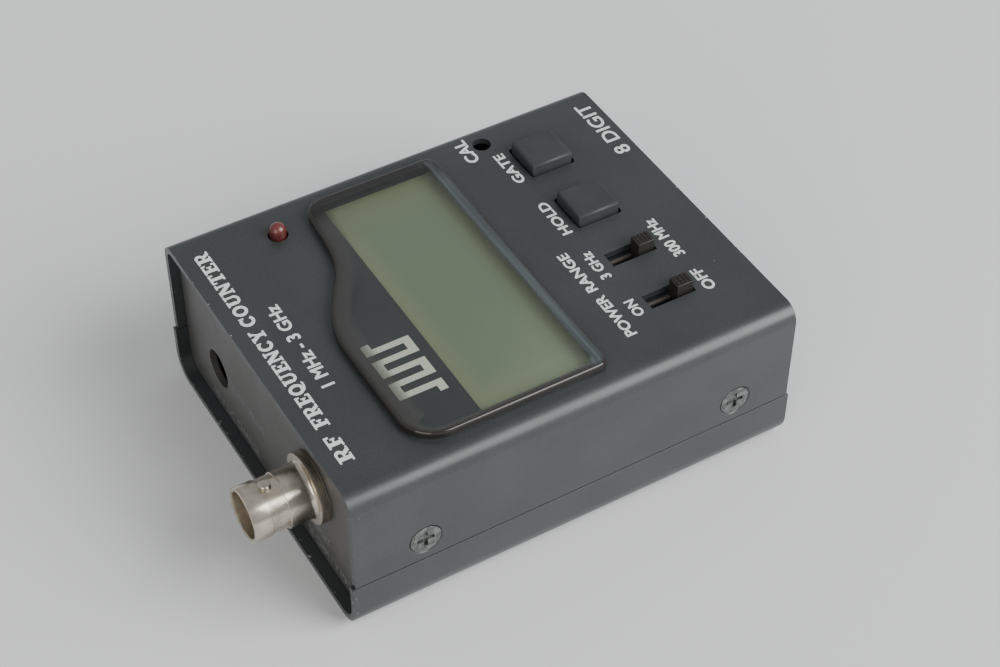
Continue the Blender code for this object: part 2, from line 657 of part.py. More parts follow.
def make_standoffs():
    """Hexagonal posts between the floor and the main board. The front pair stands on the charger board."""
    corner_radius = STANDOFF_FLATS / math.sqrt(3)
    for number, (x, y) in enumerate(standoff_places(), 1):
        low = (CHARGER_BOARD_TOP if y > 0 else EAR_TOP) + GAP
        high = MAIN_BOARD_FLOOR - GAP
        mesh = rod_mesh(f"board_standoff_{number}", corner_radius, (0, 0, low), (0, 0, high), 6)
        mesh.transform(Matrix.Translation((x, y, 0)) @ Matrix.Rotation(math.radians(30), 4, "Z"))
        post = add_object(f"board_standoff_{number}", mesh, STEEL, PARTS)
        cut_rod(post, f"cutter_standoff_{number}", SHANK_HOLE_RADIUS,
                (x, y, low - SHEET), (x, y, high + SHEET), 12)


def make_boards():
    """The main board under the face and the charger board behind the charger socket."""
    edge = HALF_WIDTH - MAIN_BOARD_MARGIN
    board_end = COVER_END - MAIN_BOARD_MARGIN
    main = add_box("main_board", (-edge, -board_end, MAIN_BOARD_FLOOR),
                   (edge, board_end, MAIN_BOARD_TOP), BOARD_GREEN)
    notch = BNC_NUT_FLATS / math.sqrt(3) + 6 * GAP
    cut_box(main, "cutter_board_notch",
            (BNC_X - notch, PANEL_FACE - INSULATOR_TAIL - 2 * GAP, MAIN_BOARD_FLOOR - SHEET),
            (BNC_X + notch, COVER_END, MAIN_BOARD_TOP + SHEET))
    charger_rear = board_end - CHARGER_BOARD_LENGTH
    charger = add_box("charger_board", (-edge, charger_rear, CHARGER_BOARD_FLOOR),
                      (edge, board_end, CHARGER_BOARD_TOP), BOARD_GREEN)
    for number, (x, y) in enumerate(standoff_places(), 1):
        cut_rod(main, f"cutter_main_hole_{number}", SHANK_HOLE_RADIUS,
                (x, y, MAIN_BOARD_FLOOR - SHEET), (x, y, MAIN_BOARD_TOP + SHEET), 12)
        if y > 0:
            cut_rod(charger, f"cutter_charger_hole_{number}", SHANK_HOLE_RADIUS,
                    (x, y, CHARGER_BOARD_FLOOR - SHEET), (x, y, CHARGER_BOARD_TOP + SHEET), 12)


def make_display():
    """The raised clear lens, the black mask behind it, the display glass and what holds it."""
    corners = lens_corners()
    lens_floor = CASE_HEIGHT + GAP
    lens_top = CASE_HEIGHT + LENS_PROUD
    lens_mesh = plate_mesh("display_lens", rounded_outline(corners), lens_floor, lens_top)
    lens = add_object("display_lens", lens_mesh, CLEAR, PARTS)
    weights = lens_mesh.attributes.new("bevel_weight_edge", "FLOAT", "EDGE")
    for edge in lens_mesh.edges:
        heights = [lens_mesh.vertices[vertex].co.z for vertex in edge.vertices]
        weights.data[edge.index].value = 1.0 if min(heights) > (lens_floor + lens_top) / 2 else 0.0
    rounding = lens.modifiers.new("rounded_rim", "BEVEL")
    rounding.limit_method = "WEIGHT"
    rounding.width = LENS_ROUNDING
    rounding.segments = 3
    pocket = inset_corners(corners, LENS_WALL)
    cut_plate(lens, "cutter_lens_pocket", pocket, lens_floor - SHEET, lens_floor + POCKET_DEPTH)
    mask_floor = CASE_HEIGHT + GAP
    mask_mesh = plate_mesh("display_mask", rounded_outline(inset_corners(corners, LENS_WALL + GAP)),
                           mask_floor, mask_floor + MASK_THICKNESS)
    mask = add_object("display_mask", mask_mesh, MASK_BLACK, PARTS)
    cut_plate(mask, "cutter_mask_window",
              rounded_rectangle(WINDOW_LEFT, WINDOW_RIGHT, WINDOW_FOOT, WINDOW_HEAD, 0.5 * MM, 2),
              mask_floor - SHEET, mask_floor + SHEET)
    glass_low = (WINDOW_LEFT, WINDOW_FOOT, GLASS_FLOOR)
    glass_high = (WINDOW_RIGHT, WINDOW_HEAD, GLASS_TOP)
    add_box("lcd_glass", glass_low, glass_high, GLASS)
    frame_low = (WINDOW_LEFT - FRAME_WALL, WINDOW_FOOT - FRAME_WALL, ON_BOARD)
    frame_high = (WINDOW_RIGHT + FRAME_WALL, WINDOW_HEAD + FRAME_WALL, FACE_UNDERSIDE - GAP)
    frame = add_box("lcd_frame", frame_low, frame_high, BLACK_PLASTIC)
    cut_box(frame, "cutter_frame_pocket", (WINDOW_LEFT - GAP, WINDOW_FOOT - GAP, GLASS_FLOOR - GAP),
            (WINDOW_RIGHT + GAP, WINDOW_HEAD + GAP, CASE_HEIGHT))
    cut_box(frame, "cutter_frame_well", (WINDOW_LEFT + FRAME_LEDGE, WINDOW_FOOT + GAP, ON_BOARD - SHEET),
            (WINDOW_RIGHT - FRAME_LEDGE, WINDOW_HEAD - GAP, CASE_HEIGHT))
    strip_places = (WINDOW_FOOT + 2 * GAP, WINDOW_HEAD - 2 * GAP - STRIP_WIDTH)
    for number, y in enumerate(strip_places, 1):
        add_box(f"lcd_strip_{number}", (WINDOW_LEFT + FRAME_LEDGE + GAP, y, ON_BOARD),
                (WINDOW_RIGHT - FRAME_LEDGE - GAP, y + STRIP_WIDTH, GLASS_FLOOR - GAP), RUBBER)


def make_button(name, x):
    """A square push button on a small switch: its cap, the switch's plunger and the switch's body."""
    half_width = BUTTON_HOLE_WIDTH / 2 - SLIDING_GAP
    half_length = BUTTON_HOLE_LENGTH / 2 - SLIDING_GAP
    cap_top = CASE_HEIGHT + BUTTON_PROUD
    cap_floor = cap_top - BUTTON_HEIGHT
    cap_mesh = box_mesh(f"{name}_button", (-half_width, -half_length, cap_floor),
                        (half_width, half_length, cap_top))
    cap = add_object(f"{name}_button", cap_mesh, BLACK_PLASTIC, PARTS)
    cap.location = (x, CONTROL_ROW_Y, 0)
    soften(cap, 0.35 * MM, 1)
    socket_radius = PLUNGER_RADIUS + GAP
    cut_rod(cap, f"cutter_{name}_socket", socket_radius, (x, CONTROL_ROW_Y, cap_floor - SHEET),
            (x, CONTROL_ROW_Y, cap_floor + BUTTON_SOCKET_DEPTH), 16)
    plunger_floor = MAIN_BOARD_TOP + PLUNGER_LIFT
    plunger_mesh = rod_mesh(f"{name}_plunger", PLUNGER_RADIUS, (0, 0, plunger_floor),
                            (0, 0, cap_floor + BUTTON_SOCKET_DEPTH - GAP), 16)
    plunger = add_object(f"{name}_plunger", plunger_mesh, WHITE_PLASTIC, PARTS)
    plunger.location = (x, CONTROL_ROW_Y, 0)
    half = TACT_WIDTH / 2
    body = add_box(f"{name}_switch_body", (x - half, CONTROL_ROW_Y - half, ON_BOARD),
                   (x + half, CONTROL_ROW_Y + half, ON_BOARD + TACT_HEIGHT), BLACK_PLASTIC)
    cut_rod(body, f"cutter_{name}_guide", socket_radius, (x, CONTROL_ROW_Y, ON_BOARD - SHEET),
            (x, CONTROL_ROW_Y, ON_BOARD + TACT_HEIGHT + SHEET), 16)


def make_slide_switch(name, x):
    """A slide switch: its body with a channel, and the knob that runs in the face's slot."""
    top = FACE_UNDERSIDE - SLIDE_BODY_DROP
    half_width = SLIDE_BODY_WIDTH / 2
    half_length = SLOT_LENGTH / 2 + SLIDE_BODY_MARGIN
    body = add_box(f"{name}_switch_body", (x - half_width, CONTROL_ROW_Y - half_length, ON_BOARD),
                   (x + half_width, CONTROL_ROW_Y + half_length, top), BLACK_PLASTIC)
    neck_half = KNOB_NECK_LENGTH / 2
    knob_half = KNOB_LENGTH / 2
    channel_half = SLOT_LENGTH / 2 - knob_half + neck_half
    channel_width = KNOB_NECK_WIDTH / 2 + GAP
    cut_box(body, f"cutter_{name}_channel",
            (x - channel_width, CONTROL_ROW_Y - channel_half, top - KNOB_NECK_DEPTH - 2 * GAP),
            (x + channel_width, CONTROL_ROW_Y + channel_half, CASE_HEIGHT))
    rest_y = CONTROL_ROW_Y - SLOT_LENGTH / 2 + knob_half + GAP
    knob_floor = top + GAP
    knob_mesh = box_mesh(f"{name}_switch_knob", (-KNOB_WIDTH / 2, -knob_half, knob_floor),
                         (KNOB_WIDTH / 2, knob_half, CASE_HEIGHT + KNOB_PROUD))
    knob = add_object(f"{name}_switch_knob", knob_mesh, BLACK_PLASTIC, PARTS)
    knob.location = (x, rest_y, 0)
    join_box(knob, f"joined_{name}_neck",
             (x - KNOB_NECK_WIDTH / 2, rest_y - neck_half, top - KNOB_NECK_DEPTH),
             (x + KNOB_NECK_WIDTH / 2, rest_y + neck_half, knob_floor + SHEET))


def make_power_light():
    """A domed light on two leads."""
    dome_start = CASE_HEIGHT + LED_CYLINDER_PROUD
    flange_top = dome_start - LED_LENGTH
    flange_floor = flange_top - LED_FLANGE_HEIGHT
    dome = [(LED_RADIUS * math.sin(a), dome_start + LED_RADIUS * math.cos(a))
            for a in (math.pi / 2 * k / 6 for k in range(1, 7))]
    profile = [(0.0, dome_start + LED_RADIUS), *dome, (LED_RADIUS, flange_top),
               (LED_FLANGE_RADIUS, flange_top), (LED_FLANGE_RADIUS, flange_floor), (0.0, flange_floor)]
    light = add_object("power_led", bake_at(turned("light", profile, RED_PLASTIC, 20),
                                            Matrix.Translation((LED_X, LED_Y, 0))), None, PARTS)
    half = LED_LEAD_WIDTH / 2
    for side in (-1, 1):
        x = LED_X + side * LED_LEAD_PITCH / 2
        join_box(light, f"joined_light_lead_{side + 2}", (x - half, LED_Y - half, ON_BOARD),
                 (x + half, LED_Y + half, flange_floor + LED_FLANGE_HEIGHT / 2))


def make_trimmer():
    """The calibration trimmer: a body and the slotted rotor under the hole in the face."""
    half = TRIMMER_WIDTH / 2
    top = ON_BOARD + TRIMMER_HEIGHT
    body = add_box("cal_trimmer_body", (CAL_X - half, CAL_Y - half, ON_BOARD),
                   (CAL_X + half, CAL_Y + half, top), WHITE_PLASTIC)
    seat = top - ROTOR_RADIUS
    cut_rod(body, "cutter_rotor_seat", ROTOR_RADIUS + GAP,
            (CAL_X, CAL_Y, seat), (CAL_X, CAL_Y, top + SHEET), 16)
    rotor_top = FACE_UNDERSIDE - ROTOR_DROP
    rotor_mesh = rod_mesh("cal_trimmer_rotor", ROTOR_RADIUS, (0, 0, seat + GAP), (0, 0, rotor_top), 16)
    rotor = add_object("cal_trimmer_rotor", rotor_mesh, GOLD, PARTS)
    rotor.location = (CAL_X, CAL_Y, 0)
    cut_box(rotor, "cutter_rotor_slot",
            (CAL_X - 2 * ROTOR_RADIUS, CAL_Y - ROTOR_SLOT_WIDTH / 2, rotor_top - ROTOR_SLOT_DEPTH),
            (CAL_X + 2 * ROTOR_RADIUS, CAL_Y + ROTOR_SLOT_WIDTH / 2, rotor_top + SHEET))


def input_place():
    """Puts something turned about Z on the connector's axis, with zero at the panel's face."""
    return Matrix.Translation((BNC_X, PANEL_FACE, BNC_Z)) @ Matrix.Rotation(-math.pi / 2, 4, "X")


def make_input_connector():
    """The coaxial connector: shell with two lugs, insulator, contact, gasket, washer and nut."""
    flange_front = BNC_FLANGE_FRONT
    flange_rear = flange_front - BNC_FLANGE_THICKNESS
    flare_end = flange_front + BNC_FLARE_LENGTH
    neck_front = BNC_REACH - BNC_MOUTH_LENGTH
    neck_rear = neck_front - BNC_NECK_LENGTH
    bore_floor = BNC_REACH - BNC_BORE_DEPTH
    tail_bore = INSULATOR_RADIUS + GAP
    profile = [
        (BNC_MOUTH_RADIUS, BNC_REACH), (BNC_MOUTH_RADIUS, neck_front), (BNC_NECK_RADIUS, neck_front),
        (BNC_NECK_RADIUS, neck_rear), (BNC_REAR_RADIUS, neck_rear), (BNC_REAR_RADIUS, flare_end),
        (BNC_FLARE_RADIUS, flange_front), (BNC_FLANGE_RADIUS, flange_front), (BNC_FLANGE_RADIUS, flange_rear),
        (BNC_THREAD_RADIUS, flange_rear), (BNC_THREAD_RADIUS, -BNC_TAIL), (tail_bore, -BNC_TAIL),
        (tail_bore, bore_floor), (BNC_BORE_RADIUS, bore_floor), (BNC_BORE_RADIUS, BNC_REACH),
    ]
    shell_mesh = bake_at(turned("shell", profile, NICKEL, 32), input_place())
    shell = add_object("bnc_shell", shell_mesh, None, PARTS)
    wall_middle = (BNC_BORE_RADIUS + BNC_NECK_RADIUS) / 2
    for side, word in ((1, "upper"), (-1, "lower")):
        y = PANEL_FACE + BNC_LUG_REACH
        join_rod(shell, f"joined_{word}_lug", BNC_LUG_RADIUS, (BNC_X, y, BNC_Z + side * wall_middle),
                 (BNC_X, y, BNC_Z + side * BNC_LUG_HEIGHT), 12)
    insulator_bore = CONTACT_RADIUS + GAP
    insulator_front = BNC_REACH - INSULATOR_RECESS
    insulator = [(INSULATOR_RADIUS, insulator_front), (INSULATOR_RADIUS, -INSULATOR_TAIL),
                 (insulator_bore, -INSULATOR_TAIL), (insulator_bore, insulator_front)]
    insulator_mesh = bake_at(turned("insulator", insulator, WHITE_PLASTIC, 20), input_place())
    add_object("bnc_insulator", insulator_mesh, None, PARTS)
    contact_front = insulator_front - GAP
    contact_floor = contact_front - CONTACT_BORE_DEPTH
    contact = [(0.0, contact_floor), (CONTACT_BORE_RADIUS, contact_floor),
               (CONTACT_BORE_RADIUS, contact_front), (CONTACT_RADIUS, contact_front),
               (CONTACT_RADIUS, -CONTACT_TAIL), (0.0, -CONTACT_TAIL)]
    contact_mesh = bake_at(turned("contact", contact, GOLD, 12), input_place())
    add_object("bnc_contact", contact_mesh, None, PARTS)
    thread_bore = BNC_THREAD_RADIUS + GAP
    gasket_front = flange_rear - GAP
    gasket = [(BNC_GASKET_RADIUS, gasket_front), (BNC_GASKET_RADIUS, GAP),
              (thread_bore, GAP), (thread_bore, gasket_front)]
    gasket_mesh = bake_at(turned("gasket", gasket, BLACK_PLASTIC, 28), input_place())
    add_object("bnc_gasket", gasket_mesh, None, PARTS)
    washer_top = -SHEET - GAP
    washer_floor = washer_top - BNC_WASHER_THICKNESS
    washer = [(BNC_WASHER_RADIUS, washer_top), (BNC_WASHER_RADIUS, washer_floor),
              (thread_bore, washer_floor), (thread_bore, washer_top)]
    washer_mesh = bake_at(turned("washer", washer, STEEL, 24), input_place())
    add_object("bnc_washer", washer_mesh, None, PARTS)
    nut_top = washer_floor - GAP
    nut_mesh = rod_mesh("bnc_nut", BNC_NUT_FLATS / math.sqrt(3), (0, 0, nut_top - BNC_NUT_THICKNESS),
                        (0, 0, nut_top), 6)
    nut_mesh.transform(input_place())
    nut = add_object("bnc_nut", nut_mesh, NICKEL, PARTS)
    cut_rod(nut, "cutter_nut_bore", thread_bore, (BNC_X, PANEL_BACK, BNC_Z),
            (BNC_X, PANEL_FACE - BNC_TAIL, BNC_Z), 24)


def make_input_lead():
    """The short wire from the connector's contact up to the main board."""
    start = Vector((BNC_X, PANEL_FACE - CONTACT_TAIL - GAP, BNC_Z))
    end = Vector((BNC_X, start.y - LEAD_RUN, MAIN_BOARD_FLOOR - GAP))
    curve = bpy.data.curves.new("input_lead", "CURVE")
    curve.dimensions = "3D"
    curve.bevel_depth = LEAD_RADIUS
    curve.bevel_resolution = 2
    curve.use_fill_caps = True
    spline = curve.splines.new("POLY")
    spline.points.add(LEAD_STEPS)
    for index, point in enumerate(spline.points):
        angle = math.pi / 2 * index / LEAD_STEPS
        y = start.y + (end.y - start.y) * math.sin(angle)
        z = end.z + (start.z - end.z) * math.cos(angle)
        point.co = (BNC_X, y, z, 1.0)
    curve.materials.append(STEEL)
    PARTS.objects.link(bpy.data.objects.new("input_lead", curve))


def make_charger_socket():
    """The charger socket on its board, with a centre pin."""
    front = PANEL_BACK - GAP - SLIDING_GAP
    rear = front - JACK_LENGTH
    half = JACK_WIDTH / 2
    body = add_box("dc_jack_body", (JACK_X - half, rear, CHARGER_BOARD_TOP + GAP),
                   (JACK_X + half, front, JACK_Z + JACK_RISE), BLACK_PLASTIC)
    cut_rod(body, "cutter_jack_hole", JACK_HOLE_RADIUS, (JACK_X, front - JACK_HOLE_DEPTH, JACK_Z),
            (JACK_X, front + SHEET, JACK_Z), 24)
    cut_rod(body, "cutter_pin_hole", JACK_PIN_RADIUS + GAP, (JACK_X, rear - SHEET, JACK_Z),
            (JACK_X, front, JACK_Z), 12)
    add_rod("dc_jack_pin", JACK_PIN_RADIUS, (JACK_X, rear - JACK_PIN_TAIL, JACK_Z),
            (JACK_X, front - JACK_PIN_RECESS, JACK_Z), NICKEL, 14)


def make_battery():
    """Four cells side by side in a tray."""
    pitch = 2 * CELL_RADIUS + GAP
    half_width = CELL_COUNT * pitch / 2 + GAP / 2 + TRAY_WALL
    half_length = (CELL_LENGTH + CELL_NUB_HEIGHT) / 2 + GAP + TRAY_WALL
    into_bend = max(0.0, half_width - (HALF_WIDTH - BASE_BEND_RADIUS))
    floor = BASE_BEND_RADIUS - math.sqrt((BASE_BEND_RADIUS - SHEET - GAP) ** 2 - into_bend ** 2)
    tray = add_box("battery_tray", (-half_width, TRAY_MIDDLE_Y - half_length, floor),
                   (half_width, TRAY_MIDDLE_Y + half_length, floor + TRAY_HEIGHT), BLACK_PLASTIC)
    cut_box(tray, "cutter_tray",
            (TRAY_WALL - half_width, TRAY_MIDDLE_Y - half_length + TRAY_WALL, floor + TRAY_FLOOR),
            (half_width - TRAY_WALL, TRAY_MIDDLE_Y + half_length - TRAY_WALL, floor + 2 * TRAY_HEIGHT))
    middle = CELL_LENGTH / 2
    profile = [(0.0, middle + CELL_NUB_HEIGHT), (CELL_NUB_RADIUS, middle + CELL_NUB_HEIGHT),
               (CELL_NUB_RADIUS, middle), (CELL_RADIUS, middle), (CELL_RADIUS, -middle), (0.0, -middle)]
    cell_mesh = frozen_mesh(turned("cell", profile, CELL_SLEEVE, 20))
    for index in range(CELL_COUNT):
        cell = add_object(f"battery_cell_{index + 1}", cell_mesh, None, PARTS)
        turn = 1 if index % 2 else -1
        x = (index - (CELL_COUNT - 1) / 2) * pitch
        y = TRAY_MIDDLE_Y + turn * CELL_NUB_HEIGHT / 2
        cell.location = (x, y, floor + TRAY_FLOOR + GAP + CELL_RADIUS)
        cell.rotation_euler = (turn * math.pi / 2, 0, 0)


def make_chips():
    """The counter chip and the timebase crystal on the main board, and the prescaler under it."""
    for name, size, place, floor, material, bevel in (
        ("counter_chip", COUNTER_CHIP, COUNTER_CHIP_PLACE, ON_BOARD, BLACK_PLASTIC, 0.0),
        ("prescaler_chip", PRESCALER_CHIP, PRESCALER_PLACE, MAIN_BOARD_FLOOR - GAP - PRESCALER_CHIP.z,
         BLACK_PLASTIC, 0.0),
        ("reference_crystal", CRYSTAL, CRYSTAL_PLACE, ON_BOARD, STEEL, 1.0 * MM),
    ):
        half_x, half_y = size.x / 2, size.y / 2
        add_box(name, (place.x - half_x, place.y - half_y, floor),
                (place.x + half_x, place.y + half_y, floor + size.z), material, bevel)


def main():
    make_top_cover()
    make_base_shell()
    make_end_panels()
    make_screws()
    make_standoffs()
    make_boards()
    make_display()
    make_button("hold", HOLD_X)
    make_button("gate", GATE_X)
    make_slide_switch("power", POWER_X)
    make_slide_switch("range", RANGE_X)
    make_power_light()
    make_trimmer()
    make_input_connector()
    make_input_lead()
    make_charger_socket()
    make_battery()
    make_chips()


main()
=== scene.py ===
"""Looks of a pocket frequency counter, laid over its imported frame.

Everything is in metres in the frame's own axes: +Z is up out of the face and +Y points to the input.
"""

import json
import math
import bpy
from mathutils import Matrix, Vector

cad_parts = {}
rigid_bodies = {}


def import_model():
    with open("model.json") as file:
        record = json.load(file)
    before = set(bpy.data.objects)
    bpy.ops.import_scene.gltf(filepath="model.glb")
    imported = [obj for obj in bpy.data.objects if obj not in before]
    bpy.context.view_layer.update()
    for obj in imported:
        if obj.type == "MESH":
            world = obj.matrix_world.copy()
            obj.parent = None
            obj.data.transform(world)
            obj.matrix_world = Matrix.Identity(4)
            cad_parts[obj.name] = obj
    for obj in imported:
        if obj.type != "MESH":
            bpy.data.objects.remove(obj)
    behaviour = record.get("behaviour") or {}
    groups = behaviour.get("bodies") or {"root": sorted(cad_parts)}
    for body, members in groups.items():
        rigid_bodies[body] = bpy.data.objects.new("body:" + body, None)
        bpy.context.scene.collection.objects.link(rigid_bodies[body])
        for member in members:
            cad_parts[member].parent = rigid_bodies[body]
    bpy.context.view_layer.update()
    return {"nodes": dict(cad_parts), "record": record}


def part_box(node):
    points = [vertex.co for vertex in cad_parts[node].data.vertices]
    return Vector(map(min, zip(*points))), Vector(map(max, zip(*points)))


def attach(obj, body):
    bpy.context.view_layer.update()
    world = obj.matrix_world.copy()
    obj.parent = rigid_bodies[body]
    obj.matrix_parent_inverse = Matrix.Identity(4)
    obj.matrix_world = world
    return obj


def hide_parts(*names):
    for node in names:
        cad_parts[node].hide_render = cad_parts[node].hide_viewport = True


bl_info = {
    "name": "Pocket frequency counter",
    "version": (1, 0, 0),
    "blender": (4, 5, 0),
    "location": "3D Viewport > Sidebar > Counter",
    "description": "Case, display, controls, input and charger socket of a pocket frequency counter",
    "category": "Object",
}

import bmesh
import bpy
from bpy.props import FloatProperty, FloatVectorProperty, IntProperty, PointerProperty
from mathutils import Matrix, Vector

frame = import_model()
NODES = frame["nodes"]

MM = 0.001

# Places read from the frame
COVER_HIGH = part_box("top_cover")[1]
FACE = COVER_HIGH.z
COVER_END = COVER_HIGH.y
LENS_LOW, LENS_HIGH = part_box("display_lens")
GLASS_LOW, GLASS_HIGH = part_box("lcd_glass")
MASK_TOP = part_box("display_mask")[1].z
PANEL_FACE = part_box("connector_end_panel")[1].y
BNC_LOW, BNC_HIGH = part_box("bnc_shell")
BNC_X = (BNC_LOW.x + BNC_HIGH.x) / 2
BNC_Z = (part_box("bnc_contact")[0].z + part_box("bnc_contact")[1].z) / 2


# ---------------------------------------------------------------- materials

class Value:
    """A number, colour or vector in a material's nodes. Arithmetic on a number adds Math nodes."""

    def __init__(self, paint, socket):
        self.paint = paint
        self.socket = socket

    def maths(self, operation, *values):
        """Adds a Math node that works on these values."""
        return self.paint.node("ShaderNodeMath", {"operation": operation}, dict(enumerate(values)))

    def __add__(self, other):
        return self.maths("ADD", self, other)

    __radd__ = __add__

    def __sub__(self, other):
        return self.maths("SUBTRACT", self, other)

    def __rsub__(self, other):
        return self.maths("SUBTRACT", other, self)

    def __mul__(self, other):
        return self.maths("MULTIPLY", self, other)

    __rmul__ = __mul__

    def __gt__(self, other):
        return self.maths("GREATER_THAN", self, other)

    def __lt__(self, other):
        return self.maths("LESS_THAN", self, other)

    def __abs__(self):
        return self.maths("ABSOLUTE", self)

    def step(self, low, high):
        """Rises smoothly from 0 to 1 as this number goes from low to high."""
        settings = {"interpolation_type": "SMOOTHSTEP"}
        return self.paint.node("ShaderNodeMapRange", settings, {0: self, 1: low, 2: high})


class Paint:
    """A Principled material whose pattern follows its piece's own coordinates, in metres."""

    def __init__(self, name, constants):
        self.material = bpy.data.materials.new(name)
        self.material.use_nodes = True
        self.tree = self.material.node_tree
        self.shader = self.tree.nodes["Principled BSDF"]
        self.place = self.node("ShaderNodeTexCoord", output="Object")
        for socket, value in constants.items():
            self.feed(socket, value)

    def node(self, kind, settings=None, values=None, output=0):
        """Adds a node, with its settings first and then the values or links of its sockets."""
        node = self.tree.nodes.new(kind)
        for name, value in (settings or {}).items():
            setattr(node, name, value)
        for key, value in (values or {}).items():
            self.link(node.inputs[key], value)
        return Value(self, node.outputs[output])

    def link(self, socket, value):
        """Gives a socket a link, a colour or a number."""
        if isinstance(value, Value):
            self.tree.links.new(value.socket, socket)
        elif socket.type == "RGBA":
            socket.default_value = (*value[:3], 1.0)
        else:
            socket.default_value = value

    def feed(self, socket, value):
        """Sets or links one of the shader's own sockets."""
        self.link(self.shader.inputs[socket], value)

    def along(self, axis):
        """The place along one axis."""
        return self.node("ShaderNodeSeparateXYZ", None, {0: self.place}, axis)

    def attribute(self, name):
        """A number kept on the mesh's points."""
        return self.node("ShaderNodeAttribute", {"attribute_name": name}, None, "Fac")

    def noise(self, scale, detail=2.0, stretch=(1.0, 1.0, 1.0)):
        """Noise round 0.5 with about so many patches in a metre."""
        vector = self.place
        if stretch != (1.0, 1.0, 1.0):
            vector = self.node("ShaderNodeMapping", None, {"Vector": vector, "Scale": stretch})
        return self.node("ShaderNodeTexNoise", None, {"Vector": vector, "Scale": scale, "Detail": detail})

    def cells(self, scale):
        """Distance from the nearest of scattered points, in cells."""
        return self.node("ShaderNodeTexVoronoi", None, {"Vector": self.place, "Scale": scale})

    def blend(self, factor, first, second):
        """A colour between two."""
        return self.node("ShaderNodeMix", {"data_type": "RGBA"}, {0: factor, 6: first, 7: second}, 2)

    def relief(self, height, distance, strength=1.0):
        """Bumps of this height map, as deep as the distance."""
        bump = self.node("ShaderNodeBump", None,
                         {"Height": height, "Distance": distance, "Strength": strength}, "Normal")
        self.feed("Normal", bump)


MATERIALS = {}


def case_paint(name, settings, paint_colour, roughness):
    """Satin black paint with a fine orange peel, faint smears and chips at the sheets' ends."""
    paint = Paint(name, {"IOR": 1.5, "Specular IOR Level": 0.6, "Coat Weight": 0.2, "Coat Roughness": 0.32})
    dark = tuple(paint_colour)
    light = tuple(c * 1.4 for c in dark)
    speckle = paint.noise(2600.0, 2.0).step(0.42, 0.62)
    body = paint.blend(0.5 * paint.noise(55.0, 3.0).step(0.4, 0.65) + 0.5 * speckle, dark, light)
    end = abs(paint.along("Y")).step(COVER_END - 0.9 * MM, COVER_END - 0.05 * MM)
    chip = (paint.noise(1500.0, 3.0) + 0.15 * end - 0.02) > 1.0 - settings.wear
    speck = (0.022 > paint.cells(260.0)) * (paint.noise(35.0) > 0.57)
    bare = chip.maths("MAXIMUM", chip, speck * 0.7)
    paint.feed("Base Color", paint.blend(bare, body, settings.bare_colour))
    smear = paint.noise(90.0, 4.0, (1.0, 0.35, 1.0)).step(0.35, 0.7)
    paint.feed("Roughness", roughness + 0.1 * smear - 0.1 * bare)
    peel = paint.noise(2400.0, 1.0) + 0.35 * paint.noise(7000.0, 0.0) - 2.0 * chip
    paint.relief(peel, 0.014 * MM, 0.6)
    return paint.material


def worn_screw(name, colour, shine):
    """Blackened steel, rubbed bright round its drive."""
    paint = Paint(name, {"Metallic": 0.75})
    rub = (paint.noise(900.0, 4.0) + 0.3 * paint.noise(3600.0, 2.0)).step(0.58, 0.82)
    paint.feed("Base Color", paint.blend(rub, colour, tuple(c * 2.1 for c in colour)))
    paint.feed("Roughness", shine + 0.22 * paint.noise(1800.0, 3.0))
    paint.relief(paint.noise(4200.0, 3.0), 0.02 * MM, 0.6)
    return paint.material


def plated_metal(name, colour, roughness, ring_axis=None, stained=0.86):
    """Bright plate, with the fine lines of a lathe across one axis when it was turned."""
    paint = Paint(name, {"Metallic": 1.0})
    stain = paint.noise(420.0, 4.0).step(0.35, 0.75)
    paint.feed("Base Color", paint.blend(stain, colour, tuple(c * stained for c in colour)))
    paint.feed("Roughness", roughness + 0.1 * paint.noise(1300.0, 3.0) * stain)
    grain = paint.noise(3000.0, 2.0)
    if ring_axis:
        line = paint.along(ring_axis) * (math.tau / (0.16 * MM))
        grain = 0.3 * grain + 0.5 * line.maths("SINE", line) * paint.noise(260.0)
    paint.relief(grain, 0.006 * MM, 0.6)
    return paint.material


def moulding(name, colour, roughness, grain=0.02 * MM):
    """Moulded plastic or rubber with a fine spark-eroded grain."""
    paint = Paint(name, {"IOR": 1.5})
    patch = paint.noise(220.0, 3.0).step(0.3, 0.7)
    paint.feed("Base Color", paint.blend(patch, colour, tuple(c * 1.2 for c in colour)))
    paint.feed("Roughness", roughness + 0.12 * paint.noise(600.0, 2.0))
    paint.relief(paint.noise(5200.0, 2.0), grain, 0.5)
    return paint.material


def printed_ink(name, colour):
    """Opaque printing ink with small pinholes and soft edges."""
    paint = Paint(name, {"IOR": 1.45})
    thin = paint.noise(3200.0, 2.0).step(0.62, 0.74)
    paint.feed("Base Color", paint.blend(thin, colour, tuple(c * 0.72 for c in colour)))
    paint.feed("Roughness", 0.5 + 0.15 * paint.noise(800.0))
    paint.relief(paint.noise(5000.0, 1.0), 0.01 * MM, 0.5)
    return paint.material


